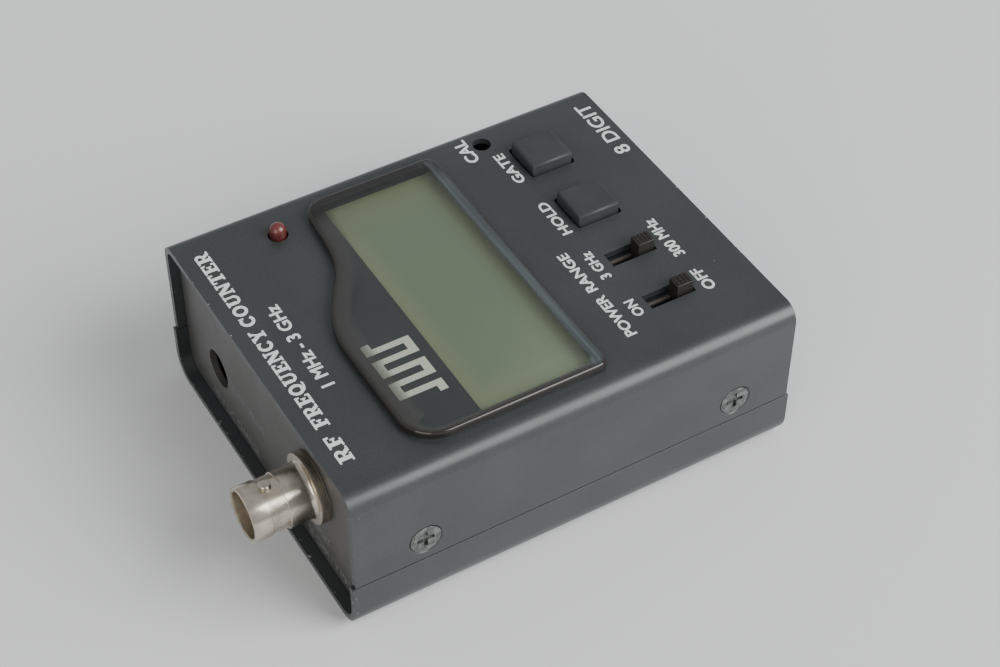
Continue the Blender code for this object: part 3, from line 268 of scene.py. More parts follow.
def display_glass(name, settings):
    """The unlit liquid crystal: grey-green, with painted light that makes it lighter and yellower towards
    its edges and its near corner, and painted shade towards its +X side.
    """
    paint = Paint(name, {"IOR": 1.52, "Roughness": 0.35})
    x, y = paint.along("X"), paint.along("Y")
    centre, half = (GLASS_LOW + GLASS_HIGH) / 2, (GLASS_HIGH - GLASS_LOW) / 2
    # Painted light: the edges are lighter and yellower, standing in for light from the lens's rounded rim.
    edge_x = abs(x - centre.x).step(half.x - 9 * MM, half.x)
    edge_y = abs(y - centre.y).step(half.y - 5 * MM, half.y)
    edge = edge_x.maths("MAXIMUM", edge_x, edge_y)
    pale = tuple(settings.lcd_edge_light_colour)
    ground = paint.blend(edge * 0.8, tuple(settings.lcd_colour), pale)
    # Painted shade towards the +X side, under the lens's far rim.
    shade = x.step(centre.x + 0.55 * half.x, half.x + centre.x) * 0.45
    ground = paint.blend(shade, ground, tuple(c * 0.7 for c in pale))
    # Painted light: lighter towards the near (-X, -Y) corner.
    corner = (1 - x.step(GLASS_LOW.x, centre.x)) * (1 - y.step(GLASS_LOW.y, GLASS_HIGH.y))
    ground = paint.blend(corner * 0.85, ground, tuple(settings.lcd_corner_light_colour))
    mottle = paint.noise(1800.0, 2.0).step(0.4, 0.6) * 0.06
    paint.feed("Base Color", paint.blend(mottle, ground, (0.1, 0.11, 0.08)))
    paint.relief(paint.noise(9000.0, 1.0), 0.004 * MM, 0.3)
    return paint.material


def clear_acrylic(name, settings):
    """Clear moulding: its rim is painted dark as painted shade, with a grey-blue painted reflection along
    its foot, and it clears away from the rim.
    """
    paint = Paint(name, {"IOR": 1.5, "Roughness": settings.lens_roughness})
    x, y, inset = paint.along("X"), paint.along("Y"), paint.attribute("inset")
    far_side = x.step(LENS_HIGH.x - 8 * MM, LENS_HIGH.x - 3 * MM)
    near_side = 1 - x.step(LENS_LOW.x + 2 * MM, LENS_LOW.x + 5 * MM)
    foot = 1 - y.step(LENS_LOW.y + 2 * MM, LENS_LOW.y + 5 * MM)
    # Painted shade at the head and the far (+X) side, and a grey-blue painted reflection along the foot,
    # stand in for what the clear rim shows.
    rim_light_and_shade = paint.blend(foot, tuple(settings.head_rim_shade_colour), tuple(settings.foot_rim_reflection_colour))
    rim_light_and_shade = paint.blend(far_side, rim_light_and_shade, tuple(settings.far_rim_shade_colour))
    # Painted reflection: pale streaks along the foot.
    reflection_streak = paint.noise(1100.0, 2.0, (0.03, 1.0, 1.0)).step(0.4, 0.7) * foot
    rim_light_and_shade = paint.blend(reflection_streak * 0.4, rim_light_and_shade, (0.14, 0.17, 0.18))
    # The outer wall is painted dark, as painted shade.
    wall = inset.step(0.2 * MM, 1.0 * MM)
    paint.feed("Base Color", paint.blend(wall, tuple(settings.wall_shade_colour), rim_light_and_shade))
    narrow = 1 + 0.45 * foot + 2.2 * (near_side * (1 - foot))
    rim = 1 - inset.step(0.4 * MM, 1.0 * MM)
    band = 1 - (inset * narrow).step(0.55 * settings.rim_light_and_shade_reach, settings.rim_light_and_shade_reach)
    solid = rim.maths("MAXIMUM", rim, band * (settings.rim_light_and_shade_share + 0.25 * foot))
    gloss = paint.node("ShaderNodeBsdfGlossy", None,
                       {"Color": (1.0, 1.0, 1.0), "Roughness": settings.lens_roughness})
    clear = paint.node("ShaderNodeBsdfTransparent", None, {"Color": tuple(settings.lens_tint)})
    tilt = paint.node("ShaderNodeLayerWeight", None, {"Blend": 0.5}, "Facing")
    smear = paint.noise(70.0, 4.0, (1.0, 0.5, 1.0)).step(0.35, 0.7)
    factor = 0.04 + tilt.maths("POWER", tilt, 5.0) * 0.95 + 0.006 * smear
    window = paint.node("ShaderNodeMixShader", None, {0: factor, 1: clear, 2: gloss})
    body = Value(paint, paint.shader.outputs[0])
    mixed = paint.node("ShaderNodeMixShader", None, {0: solid, 1: window, 2: body})
    paint.tree.links.new(mixed.socket, paint.tree.nodes["Material Output"].inputs["Surface"])
    return paint.material


def smooth_print(name, colour):
    """Gloss print on the back of the clear moulding."""
    paint = Paint(name, {"IOR": 1.45})
    patch = paint.noise(60.0, 2.0).step(0.35, 0.65)
    paint.feed("Base Color", paint.blend(patch, colour, tuple(c * 1.12 for c in colour)))
    paint.feed("Roughness", 0.3 + 0.05 * patch)
    return paint.material


def light_epoxy(name, colour):
    """Tinted clear epoxy of the power light, with painted light making the dome lighter towards its top."""
    paint = Paint(name, {"IOR": 1.5, "Coat Roughness": 0.08})
    # Painted light: darker near the face, lighter towards the dome's top.
    top_light = paint.along("Z").step(FACE, FACE + 2.5 * MM)
    paint.feed("Base Color", paint.blend(top_light, tuple(c * 0.6 for c in colour), colour))
    paint.feed("Roughness", 0.25 + 0.08 * paint.noise(900.0))
    paint.feed("Coat Weight", 0.25 + 0.3 * paint.noise(300.0))
    return paint.material


def circuit_board(name, colour):
    """Green mask over tracks that run along the board, with tinned pads."""
    paint = Paint(name, {"IOR": 1.5})
    wander = paint.along("X") + 0.004 * paint.noise(45.0, 1.0)
    wave = wander * (math.tau / (2.2 * MM))
    track = wave.maths("SINE", wave).step(0.2, 0.5) * (paint.noise(60.0) > 0.5)
    pad = 0.2 > paint.cells(330.0)
    green = paint.blend(track, colour, tuple(c * 1.7 for c in colour))
    paint.feed("Base Color", paint.blend(pad, green, (0.66, 0.66, 0.64)))
    paint.feed("Metallic", pad)
    paint.feed("Roughness", 0.32 + 0.1 * track)
    paint.relief(track + pad, 0.03 * MM, 0.7)
    return paint.material


def cell_sleeve(name, colour):
    """Shrink sleeve with a pale band and faint creases."""
    paint = Paint(name, {"IOR": 1.5, "Coat Weight": 0.4})
    y = paint.along("Y")
    band = (y - 8 * MM).step(0.0, 0.3 * MM) * (1 - (y - 13 * MM).step(0.0, 0.3 * MM))
    end = abs(y + 5.4 * MM).step(24.4 * MM, 24.6 * MM)
    sleeve = paint.blend(band, colour, (0.7, 0.72, 0.74))
    paint.feed("Base Color", paint.blend(end, sleeve, (0.62, 0.62, 0.6)))
    paint.feed("Metallic", end)
    paint.feed("Roughness", 0.28 + 0.12 * paint.noise(500.0))
    paint.relief(paint.noise(300.0, 2.0, (1.0, 0.3, 1.0)), 0.05 * MM, 0.4)
    return paint.material


def floor_paper(name, settings):
    """Pale matt paper under the object."""
    paint = Paint(name, {"IOR": 1.4})
    tone = tuple(settings.floor_colour)
    paint.feed("Base Color", paint.blend(paint.noise(12.0, 2.0), tone, tuple(c * 0.985 for c in tone)))
    paint.feed("Roughness", 0.85 + 0.1 * paint.noise(300.0))
    paint.relief(paint.noise(1500.0, 2.0), 0.02 * MM, 0.3)
    return paint.material


def make_materials(scene):
    """All the finishes, by the record's slot or the piece they are for."""
    case, display, fittings = scene.counter_case, scene.counter_display, scene.counter_fittings
    black = tuple(fittings.plastic_colour)
    MATERIALS.update({
        "painted_case": case_paint("satin_black_paint", case, case.paint_colour, case.paint_roughness),
        # The end panels' paint is rougher than the cover's, and lighter as painted light that stands in for
        # light they lack.
        "matt_lightened_paint": case_paint("matt_lightened_black_paint", case, case.panel_lightened_colour, case.panel_roughness),
        "ink": printed_ink("white_print", tuple(scene.counter_print.ink_colour)),
        "faint_ink": printed_ink("grey_print", tuple(scene.counter_print.faint_colour)),
        "mark_ink": printed_ink("cream_print", tuple(scene.counter_print.mark_colour)),
        "blackened_screws": worn_screw("blackened_screw", (0.12, 0.125, 0.12), 0.34),
        "plated_steel": plated_metal("zinc_plate", (0.6, 0.6, 0.59), 0.3),
        "nickel_plate": plated_metal("turned_nickel", tuple(fittings.nickel_colour), 0.21, "Y", 0.7),
        # Painted shade: the bore is a darker, browner copy of the nickel inside the mouth.
        "bore": plated_metal("shaded_bore", tuple(fittings.bore_shade_colour), 0.42, "Y", 0.6),
        # Painted shade: the flange's rim is a darker copy of the nickel.
        "rim": plated_metal("shaded_flange_rim", tuple(fittings.flange_rim_shade_colour), 0.3, None, 0.6),
        "gold_plate": plated_metal("gold_plate", (0.83, 0.62, 0.28), 0.2),
        "brass_rotor": plated_metal("turned_brass", (0.5, 0.22, 0.14), 0.4),
        "clear_lens": clear_acrylic("clear_acrylic", display),
        "mask_black": smooth_print("gloss_black_print", tuple(display.mask_colour)),
        "display_glass": display_glass("grey_green_display", display),
        "black_plastic": moulding("satin_black_moulding", black, fittings.plastic_roughness),
        "chip_black": moulding("chip_epoxy", (0.025, 0.025, 0.026), 0.6),
        "contact_rubber": moulding("contact_strip", (0.2, 0.2, 0.21), 0.7),
        "gasket_rubber": moulding("gasket_rubber", (0.15, 0.135, 0.11), 0.5, 0.03 * MM),
        "red_light": light_epoxy("red_epoxy", tuple(fittings.light_colour)),
        "white_plastic": moulding("natural_nylon", (0.72, 0.7, 0.64), 0.45),
        "circuit_board": circuit_board("green_board", (0.02, 0.1, 0.04)),
        "cell_sleeve": cell_sleeve("blue_sleeve", (0.03, 0.12, 0.35)),
        "knob": moulding("knob_moulding", tuple(fittings.knob_colour), 0.42),
        "rail": moulding("dull_rail", (0.1, 0.09, 0.082), 0.45),
    })


# ---------------------------------------------------------------- mesh helpers

def new_object(name, mesh):
    """An object of this mesh in the scene."""
    obj = bpy.data.objects.new(name, mesh)
    bpy.context.scene.collection.objects.link(obj)
    return obj


def mesh_from(name, bm, merge=True):
    """A mesh with merged points and outward faces."""
    if merge:
        bmesh.ops.remove_doubles(bm, verts=bm.verts, dist=0.0005 * MM)
    bmesh.ops.recalc_face_normals(bm, faces=bm.faces)
    mesh = bpy.data.meshes.new(name)
    bm.to_mesh(mesh)
    bm.free()
    return mesh


def soft_shading(mesh, angle=35.0):
    """Smooth shading, with sharp edges where the faces turn by more than the angle."""
    mesh.shade_smooth()
    mesh.set_sharp_from_angle(angle=math.radians(angle))
    return mesh


def applied(obj):
    """Turns an object's evaluated shape into its plain mesh and removes its modifiers."""
    bpy.context.view_layer.update()
    mesh = bpy.data.meshes.new_from_object(obj.evaluated_get(bpy.context.evaluated_depsgraph_get()))
    mesh.name = obj.name
    obj.modifiers.clear()
    obj.data = mesh
    return obj


def merged_copy(node, name):
    """A copy of a CAD node with joined triangles, ready for rounded edges."""
    bm = bmesh.new()
    bm.from_mesh(NODES[node].data)
    bmesh.ops.remove_doubles(bm, verts=bm.verts, dist=0.002 * MM)
    bmesh.ops.dissolve_limit(bm, angle_limit=math.radians(0.5), verts=bm.verts, edges=bm.edges)
    mesh = bpy.data.meshes.new(name)
    bm.to_mesh(mesh)
    bm.free()
    return new_object(name, mesh)


def rounded(obj, width, segments=2, angle=40.0):
    """Rounds sharp edges and keeps the flats flat."""
    bevel = obj.modifiers.new("rounding", "BEVEL")
    bevel.width = width
    bevel.segments = segments
    bevel.limit_method = "ANGLE"
    bevel.angle_limit = math.radians(angle)
    obj.data.shade_smooth()
    weigh = obj.modifiers.new("even_flats", "WEIGHTED_NORMAL")
    weigh.keep_sharp = True
    return applied(obj)


def piece(obj, body, slot, *replaced, material=None):
    """Gives a finished piece its body and the material of its slot or the one named, and hides what it
    stands for.
    """
    if not len(obj.data.materials):
        obj.data.materials.append(MATERIALS[material or slot])
    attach(obj, body)
    if replaced:
        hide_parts(*replaced)
    return obj


def from_cad(node, body, slot, width, material=None):
    """A CAD node's own shape with its edges rounded."""
    obj = rounded(merged_copy(node, f"{node}_finish"), width)
    return piece(obj, body, slot, node, material=material)


def box_into(bm, low, high):
    """Adds a box between two corners."""
    low, high = Vector(low), Vector(high)
    place = Matrix.Translation((low + high) / 2) @ Matrix.Diagonal((*(high - low), 1.0))
    return bmesh.ops.create_cube(bm, size=1.0, matrix=place)["verts"]


def lathe_into(bm, profile, place, segments=64):
    """Turns points (radius, height) about Z into a closed skin. Points on the axis close it."""
    rings = []
    for radius, height in profile:
        if radius < 1e-7:
            rings.append([bm.verts.new(place @ Vector((0, 0, height)))])
            continue
        rings.append([bm.verts.new(place @ Vector((radius * math.cos(a), radius * math.sin(a), height)))
                      for a in (math.tau * k / segments for k in range(segments))])
    loops = list(zip(rings, rings[1:]))
    if profile[0][0] > 1e-7 and profile[-1][0] > 1e-7:
        loops.append((rings[-1], rings[0]))
    for first, second in loops:
        for k in range(segments):
            n = (k + 1) % segments
            corners = [first[k % len(first)], first[n % len(first)],
                       second[n % len(second)], second[k % len(second)]]
            bm.faces.new(list(dict.fromkeys(corners)))


def arc_points(centre, radius, start, end, steps):
    """Points along an arc between two angles, both ends included."""
    angles = [start + (end - start) * k / steps for k in range(steps + 1)]
    return [Vector((centre[0] + radius * math.cos(a), centre[1] + radius * math.sin(a))) for a in angles]


def rounded_outline(corners):
    """A closed outline from corners (x, y, radius, steps), anticlockwise."""
    points = []
    for index, (x, y, radius, steps) in enumerate(corners):
        corner = Vector((x, y))
        before = (Vector(corners[index - 1][:2]) - corner).normalized()
        after = (Vector(corners[(index + 1) % len(corners)][:2]) - corner).normalized()
        half = before.angle(after) / 2
        centre = corner + (before + after).normalized() * radius / math.sin(half)
        first = corner + before * radius / math.tan(half) - centre
        last = corner + after * radius / math.tan(half) - centre
        start = math.atan2(first.y, first.x)
        sweep = (math.atan2(last.y, last.x) - start + math.pi) % math.tau - math.pi
        points += arc_points(centre, radius, start, start + sweep, steps)
    return points


def inset_corners(corners, inset):
    """The corners moved inwards with their radii changed to keep the wall even."""
    moved = []
    for index, (x, y, radius, steps) in enumerate(corners):
        corner = Vector((x, y))
        into = (corner - Vector(corners[index - 1][:2])).normalized()
        out = (Vector(corners[(index + 1) % len(corners)][:2]) - corner).normalized()
        before, after = Vector((-into.y, into.x)), Vector((-out.y, out.x))
        step = (before + after) * inset / (1 + before.dot(after))
        turned = max(radius - inset, radius / 4) if into.cross(out) > 0 else radius + inset
        moved.append((x + step.x, y + step.y, turned, steps))
    return moved


# ---------------------------------------------------------------- node trees

class Tree:
    """A Geometry Nodes tree under construction, with named inputs."""

    def __init__(self, name, sockets):
        self.group = bpy.data.node_groups.new(name, "GeometryNodeTree")
        face = self.group.interface
        face.new_socket(name="Geometry", in_out="INPUT", socket_type="NodeSocketGeometry")
        for label, kind, value in sockets:
            socket = face.new_socket(name=label, in_out="INPUT", socket_type=f"NodeSocket{kind}")
            if value is not None:
                socket.default_value = value
        face.new_socket(name="Geometry", in_out="OUTPUT", socket_type="NodeSocketGeometry")
        self.inputs = self.group.nodes.new("NodeGroupInput")

    def given(self, label):
        """One of the tree's own inputs."""
        return self.inputs.outputs[label]

    def node(self, kind, settings=None, values=None, output=0):
        """Adds a node, with its settings first and then the values or links of its sockets."""
        node = self.group.nodes.new(kind)
        for name, value in (settings or {}).items():
            setattr(node, name, value)
        for key, value in (values or {}).items():
            for one in value if isinstance(value, list) else [value]:
                if isinstance(one, bpy.types.NodeSocket):
                    self.group.links.new(one, node.inputs[key])
                else:
                    node.inputs[key].default_value = one
        return node.outputs[output]

    def times(self, first, second):
        """Their product."""
        return self.node("ShaderNodeMath", {"operation": "MULTIPLY"}, {0: first, 1: second})

    def vector(self, x, y, z):
        """A vector of three numbers."""
        return self.node("ShaderNodeCombineXYZ", None, {0: x, 1: y, 2: z})

    def finish(self, geometry, material):
        """Realizes the instances, sets the material and closes the tree."""
        plain = self.node("GeometryNodeRealizeInstances", None, {0: geometry})
        shown = self.node("GeometryNodeSetMaterial", None, {0: plain, "Material": material})
        self.group.links.new(shown, self.group.nodes.new("NodeGroupOutput").inputs[0])
        return self.group


def grown(obj, tree, values):
    """Runs a tree on an object and keeps the result as a plain mesh."""
    modifier = obj.modifiers.new("grown", "NODES")
    modifier.node_group = tree
    for item in tree.interface.items_tree:
        if item.in_out == "INPUT" and item.name in values:
            modifier[item.identifier] = values[item.name]
    return applied(obj)


def screw_tree():
    """Countersunk cross-head screws, one on each point, turned by the points' own angles."""
    sizes = [("Head Radius", "Float", 2.8 * MM), ("Shank Radius", "Float", 1.5 * MM),
             ("Head Depth", "Float", 1.2 * MM), ("Length", "Float", 5 * MM),
             ("Slot Length", "Float", 3.2 * MM), ("Slot Width", "Float", 0.75 * MM),
             ("Slot Depth", "Float", 0.5 * MM), ("Material", "Material", None)]
    tree = Tree("cross_head_screws", sizes)
    depth, length = tree.given("Head Depth"), tree.given("Length")
    head = tree.node("GeometryNodeMeshCone", None, {
        "Vertices": 40, "Radius Top": tree.given("Head Radius"),
        "Radius Bottom": tree.given("Shank Radius"), "Depth": depth}, "Mesh")
    head = tree.node("GeometryNodeTransform", None,
                     {0: head, "Translation": tree.vector(0.0, 0.0, tree.times(depth, -1.0))})
    shank = tree.node("GeometryNodeMeshCylinder", None, {
        "Vertices": 24, "Radius": tree.times(tree.given("Shank Radius"), 0.98), "Depth": length}, "Mesh")
    shank = tree.node("GeometryNodeTransform", None,
                      {0: shank, "Translation": tree.vector(0.0, 0.0, tree.times(length, -0.52))})
    slot_long, slot_wide = tree.given("Slot Length"), tree.given("Slot Width")
    deep = tree.times(tree.given("Slot Depth"), 2.0)
    first = tree.node("GeometryNodeMeshCube", None,
                      {"Size": tree.vector(slot_long, slot_wide, deep)}, "Mesh")
    second = tree.node("GeometryNodeMeshCube", None,
                       {"Size": tree.vector(slot_wide, slot_long, deep)}, "Mesh")
    whole = tree.node("GeometryNodeMeshBoolean", {"operation": "UNION", "solver": "EXACT"},
                      {1: [head, shank]}, "Mesh")
    cross = tree.node("GeometryNodeMeshBoolean", {"operation": "UNION", "solver": "EXACT"},
                      {1: [first, second]}, "Mesh")
    screw = tree.node("GeometryNodeMeshBoolean", {"operation": "DIFFERENCE", "solver": "EXACT"},
                      {0: whole, 1: cross}, "Mesh")
    angles = tree.node("GeometryNodeInputNamedAttribute", {"data_type": "FLOAT_VECTOR"}, {"Name": "turn"})
    turn = tree.node("FunctionNodeEulerToRotation", None, {0: angles})
    placed = tree.node("GeometryNodeInstanceOnPoints", None,
                       {"Points": tree.given("Geometry"), "Instance": screw, "Rotation": turn})
    return tree.finish(placed, tree.given("Material"))


def ridge_tree():
    """A grip of short round bars, in rows along Y across the top of a knob."""
    sizes = [("Count", "Int", 4), ("Bars", "Int", 3), ("Pitch", "Float", 0.75 * MM),
             ("Width", "Float", 0.6 * MM), ("Radius", "Float", 0.28 * MM), ("Material", "Material", None)]
    tree = Tree("grip_ridges", sizes)
    pitch, count = tree.given("Pitch"), tree.given("Count")
    steps = tree.node("ShaderNodeMath", {"operation": "SUBTRACT"}, {0: count, 1: 1.0})
    start = tree.times(tree.times(pitch, steps), -0.5)
    line = tree.node("GeometryNodeMeshLine", None, {
        "Count": count, "Start Location": tree.vector(0.0, start, 0.0),
        "Offset": tree.vector(0.0, pitch, 0.0)}, "Mesh")
    ridge = tree.node("GeometryNodeMeshCylinder", None, {
        "Vertices": 16, "Radius": tree.given("Radius"), "Depth": tree.given("Width")}, "Mesh")
    ridge = tree.node("GeometryNodeTransform", None, {0: ridge, "Rotation": (0.0, math.pi / 2, 0.0)})
    bars, step = tree.given("Bars"), tree.times(tree.given("Width"), 1.25)
    gaps = tree.node("ShaderNodeMath", {"operation": "SUBTRACT"}, {0: bars, 1: 1.0})
    across = tree.node("GeometryNodeMeshLine", None, {
        "Count": bars, "Start Location": tree.vector(tree.times(tree.times(step, gaps), -0.5), 0.0, 0.0),
        "Offset": tree.vector(step, 0.0, 0.0)}, "Mesh")
    bar_row = tree.node("GeometryNodeInstanceOnPoints", None, {"Points": across, "Instance": ridge})
    row = tree.node("GeometryNodeInstanceOnPoints", None, {"Points": line, "Instance": bar_row})
    placed = tree.node("GeometryNodeInstanceOnPoints", None,
                       {"Points": tree.given("Geometry"), "Instance": row})
    return tree.finish(placed, tree.given("Material"))


def points_object(name, places, turns=None):
    """An object of loose points, each with the angles that its instance is turned by."""
    mesh = bpy.data.meshes.new(name)
    mesh.from_pydata([tuple(place) for place in places], [], [])
    if turns:
        attribute = mesh.attributes.new("turn", "FLOAT_VECTOR", "POINT")
        for item, turn in zip(attribute.data, turns):
            item.vector = turn
    return new_object(name, mesh)


# ---------------------------------------------------------------- sizes and colours

def length(name, text, default):
    """A size that a user can change."""
    return FloatProperty(name=name, description=text, default=default, subtype="DISTANCE", precision=5)


def colour(name, text, default):
    """A colour that a user can change."""
    return FloatVectorProperty(name=name, description=text, default=default, subtype="COLOR",
                               min=0.0, max=1.0)


def share(name, text, default):
    """A number from 0 to 1 that a user can change."""
    return FloatProperty(name=name, description=text, default=default, subtype="FACTOR", min=0.0, max=1.0)


class CaseSettings(bpy.types.PropertyGroup):
    """Paint, wear and edges of the case."""
    paint_colour: colour("Paint", "Colour of the case's paint", (0.0255, 0.0295, 0.031))
    bare_colour: colour("Bare metal", "Colour where the paint is chipped", (0.42, 0.40, 0.36))
    paint_roughness: share("Roughness", "Roughness of the paint", 0.37)
    # Lighter than the cover's paint: painted light on the end panels.
    panel_lightened_colour: colour("Panel paint", "Colour of the end panels' paint", (0.046, 0.045, 0.043))
    panel_roughness: share("Panel roughness", "Roughness of the end panels' paint", 0.42)
    wear: share("Wear", "How far the paint is chipped", 0.19)
    edge_radius: length("Edge", "Rounding of the sheets' cut edges", 0.14 * MM)


class PrintSettings(bpy.types.PropertyGroup):
    """The printed lettering and the mark."""
    ink_colour: colour("Ink", "Colour of the face's lettering", (0.72, 0.76, 0.74))
    faint_colour: colour("Faint ink", "Colour of the end panel's lettering", (0.15, 0.157, 0.16))
    mark_colour: colour("Mark", "Colour of the mark beside the display", (0.62, 0.62, 0.52))
    thickness: length("Thickness", "Height of the print above the paint", 0.03 * MM)


class DisplaySettings(bpy.types.PropertyGroup):
    """The clear lens, the print behind it and the liquid crystal."""
    lcd_colour: colour("Display", "Colour of the display's middle", (0.15, 0.185, 0.115))
    # Painted light: the display's edges get this lighter colour.
    lcd_edge_light_colour: colour("Display edge", "Colour of the display's edges", (0.21, 0.235, 0.13))
    # Painted light on the display's near corner.
    lcd_corner_light_colour: colour("Display corner", "Colour of the display's near corner", (0.215, 0.25, 0.165))
    mask_colour: colour("Mask", "Colour of the print round the display", (0.014, 0.0165, 0.02))
    lens_tint: colour("Lens tint", "What the lens lets through", (0.93, 0.95, 0.94))
    # Painted shade and reflection in the lens's rim: the wall, the head and the far side are painted shade,
    # and the foot is a painted reflection.
    wall_shade_colour: colour("Wall", "Colour of the lens's outer wall", (0.02, 0.018, 0.016))
    head_rim_shade_colour: colour("Haze", "Colour inside the lens's head", (0.056, 0.056, 0.052))
    foot_rim_reflection_colour: colour("Foot haze", "Colour inside the lens's foot", (0.05, 0.06, 0.064))
    far_rim_shade_colour: colour("Far haze", "Colour inside the lens's right side", (0.011, 0.01, 0.008))
    rim_light_and_shade_reach: length("Haze reach", "How far the haze spreads from the rim", 4.6 * MM)
    rim_light_and_shade_share: share("Haze share", "How much the haze hides", 0.62)
    lens_roughness: share("Lens roughness", "Roughness of the lens", 0.09)
    rounding: length("Rounding", "Radius of the lens's rim", 0.55 * MM)
    crown: length("Crown", "How much the lens rises inside its rim", 0.42 * MM)
    crown_reach: length("Crown reach", "How far in from the rim the lens rises", 4.0 * MM)


class FittingSettings(bpy.types.PropertyGroup):
    """The controls, the connector and the light."""
    plastic_colour: colour("Black plastic", "Colour of the controls", (0.031, 0.035, 0.038))
    plastic_roughness: share("Plastic roughness", "Roughness of the controls", 0.4)
    nickel_colour: colour("Nickel", "Colour of the input connector", (0.64, 0.58, 0.48))
    # Painted shade inside the input's mouth.
    bore_shade_colour: colour("Bore", "Colour inside the input's mouth", (0.42, 0.36, 0.27))
    # Painted shade on the input's flange rim.
    flange_rim_shade_colour: colour("Rim", "Colour of the input's flange rim", (0.44, 0.39, 0.31))
    knob_colour: colour("Knobs", "Colour of the slide knobs", (0.016, 0.014, 0.012))
    light_colour: colour("Light", "Colour of the power light", (0.13, 0.025, 0.022))
    ridges: IntProperty(name="Ridges", description="Ridges across a slide knob", default=4, min=1, max=9)


class StageSettings(bpy.types.PropertyGroup):
    """Floor, lights and camera."""
    floor_colour: colour("Floor", "Colour of the floor", (0.755, 0.765, 0.775))
    lens: FloatProperty(name="Lens", description="Focal length of the camera, in millimetres",
                        default=77.112, min=1.0, subtype="DISTANCE_CAMERA")
    sky: FloatProperty(name="Sky", description="Strength of the light from all round",
                       default=0.48, min=0.0)
    window: FloatProperty(name="Window", description="Power of the broad light, in watts",
                          default=34.0, min=0.0, subtype="POWER")


# ---------------------------------------------------------------- lettering

def on_face(left, foot):
    """Flat work laid on the face of the case."""
    return Matrix.Translation((left, foot, FACE))


def on_panel(left, foot):
    """Flat work laid on the connector's end panel, which is read from outside."""
    turn = Matrix(((-1, 0, 0), (0, 0, 1), (0, 1, 0))).to_4x4()
    return Matrix.Translation((left, PANEL_FACE, foot)) @ turn


def fitted(mesh, width, height, thickness, place):
    """Scales flat work to its width, height and thickness, then puts it in its place."""
    low = Vector([min(v.co[k] for v in mesh.vertices) for k in range(3)])
    high = Vector([max(v.co[k] for v in mesh.vertices) for k in range(3)])
    size = high - low
    scale = Matrix.Diagonal((width / size.x, height / size.y, thickness / max(size.z, 1e-9), 1.0))
    mesh.transform(place @ scale @ Matrix.Translation(-low))
    bm = bmesh.new()
    bm.from_mesh(mesh)
    return mesh_from(mesh.name, bm)


def sans_mesh(text, weight):
    """Lettering in the plain built-in face, made heavier by copies shifted all round by a weight."""
    curve = bpy.data.curves.new("lettering", "FONT")
    curve.body = text
    curve.extrude = 0.01
    curve.resolution_u = 4
    obj = new_object("lettering", curve)
    mesh = bpy.data.meshes.new_from_object(obj.evaluated_get(bpy.context.evaluated_depsgraph_get()))
    bpy.data.objects.remove(obj)
    if not weight:
        return mesh
    bm = bmesh.new()
    for k in range(8):
        a = math.tau * (k + 0.5) / 8
        shift = Vector((weight * math.cos(a), weight * math.sin(a), 0.001 * k))    # no two tops are level
        mesh.transform(Matrix.Translation(shift))
        bm.from_mesh(mesh)
        mesh.transform(Matrix.Translation(-shift))
    bm.to_mesh(mesh)
    bm.free()
    return mesh


def bar(start, end, width):
    """A straight stroke with square ends."""
    start, end = Vector(start), Vector(end)
    side = (end - start).normalized().orthogonal() * width / 2
    return [start - side, end - side, end + side, start + side]


def bow(centre, radii, angles, width, steps=12):
    """A curved stroke: part of an ellipse between two angles in degrees."""
    outer, inner = [], []
    for k in range(steps + 1):
        a = math.radians(angles[0] + (angles[1] - angles[0]) * k / steps)
        for points, grow in ((outer, width / 2), (inner, -width / 2)):
            points.append(Vector((centre[0] + (radii[0] + grow) * math.cos(a),
                                  centre[1] + (radii[1] + grow) * math.sin(a))))
    return outer + inner[::-1]


def flat(left, foot, right, head):
    """A rectangular stroke."""
    return [Vector(p) for p in ((left, foot), (right, foot), (right, head), (left, head))]


STEM, SERIF, ARM = 0.24, 0.13, 0.15     # stroke widths of the heavy slab letters, to a height of 1


def stem(x, low=0.0, high=1.0, spread=0.13):
    """An upright stroke with slab serifs at both ends."""
    strokes = [flat(x, low, x + STEM, high)]
    if low == 0.0:
        strokes.append(flat(x - spread, 0.0, x + STEM + spread, SERIF))
    if high == 1.0:
        strokes.append(flat(x - spread, 1 - SERIF, x + STEM + spread, 1.0))
    return strokes


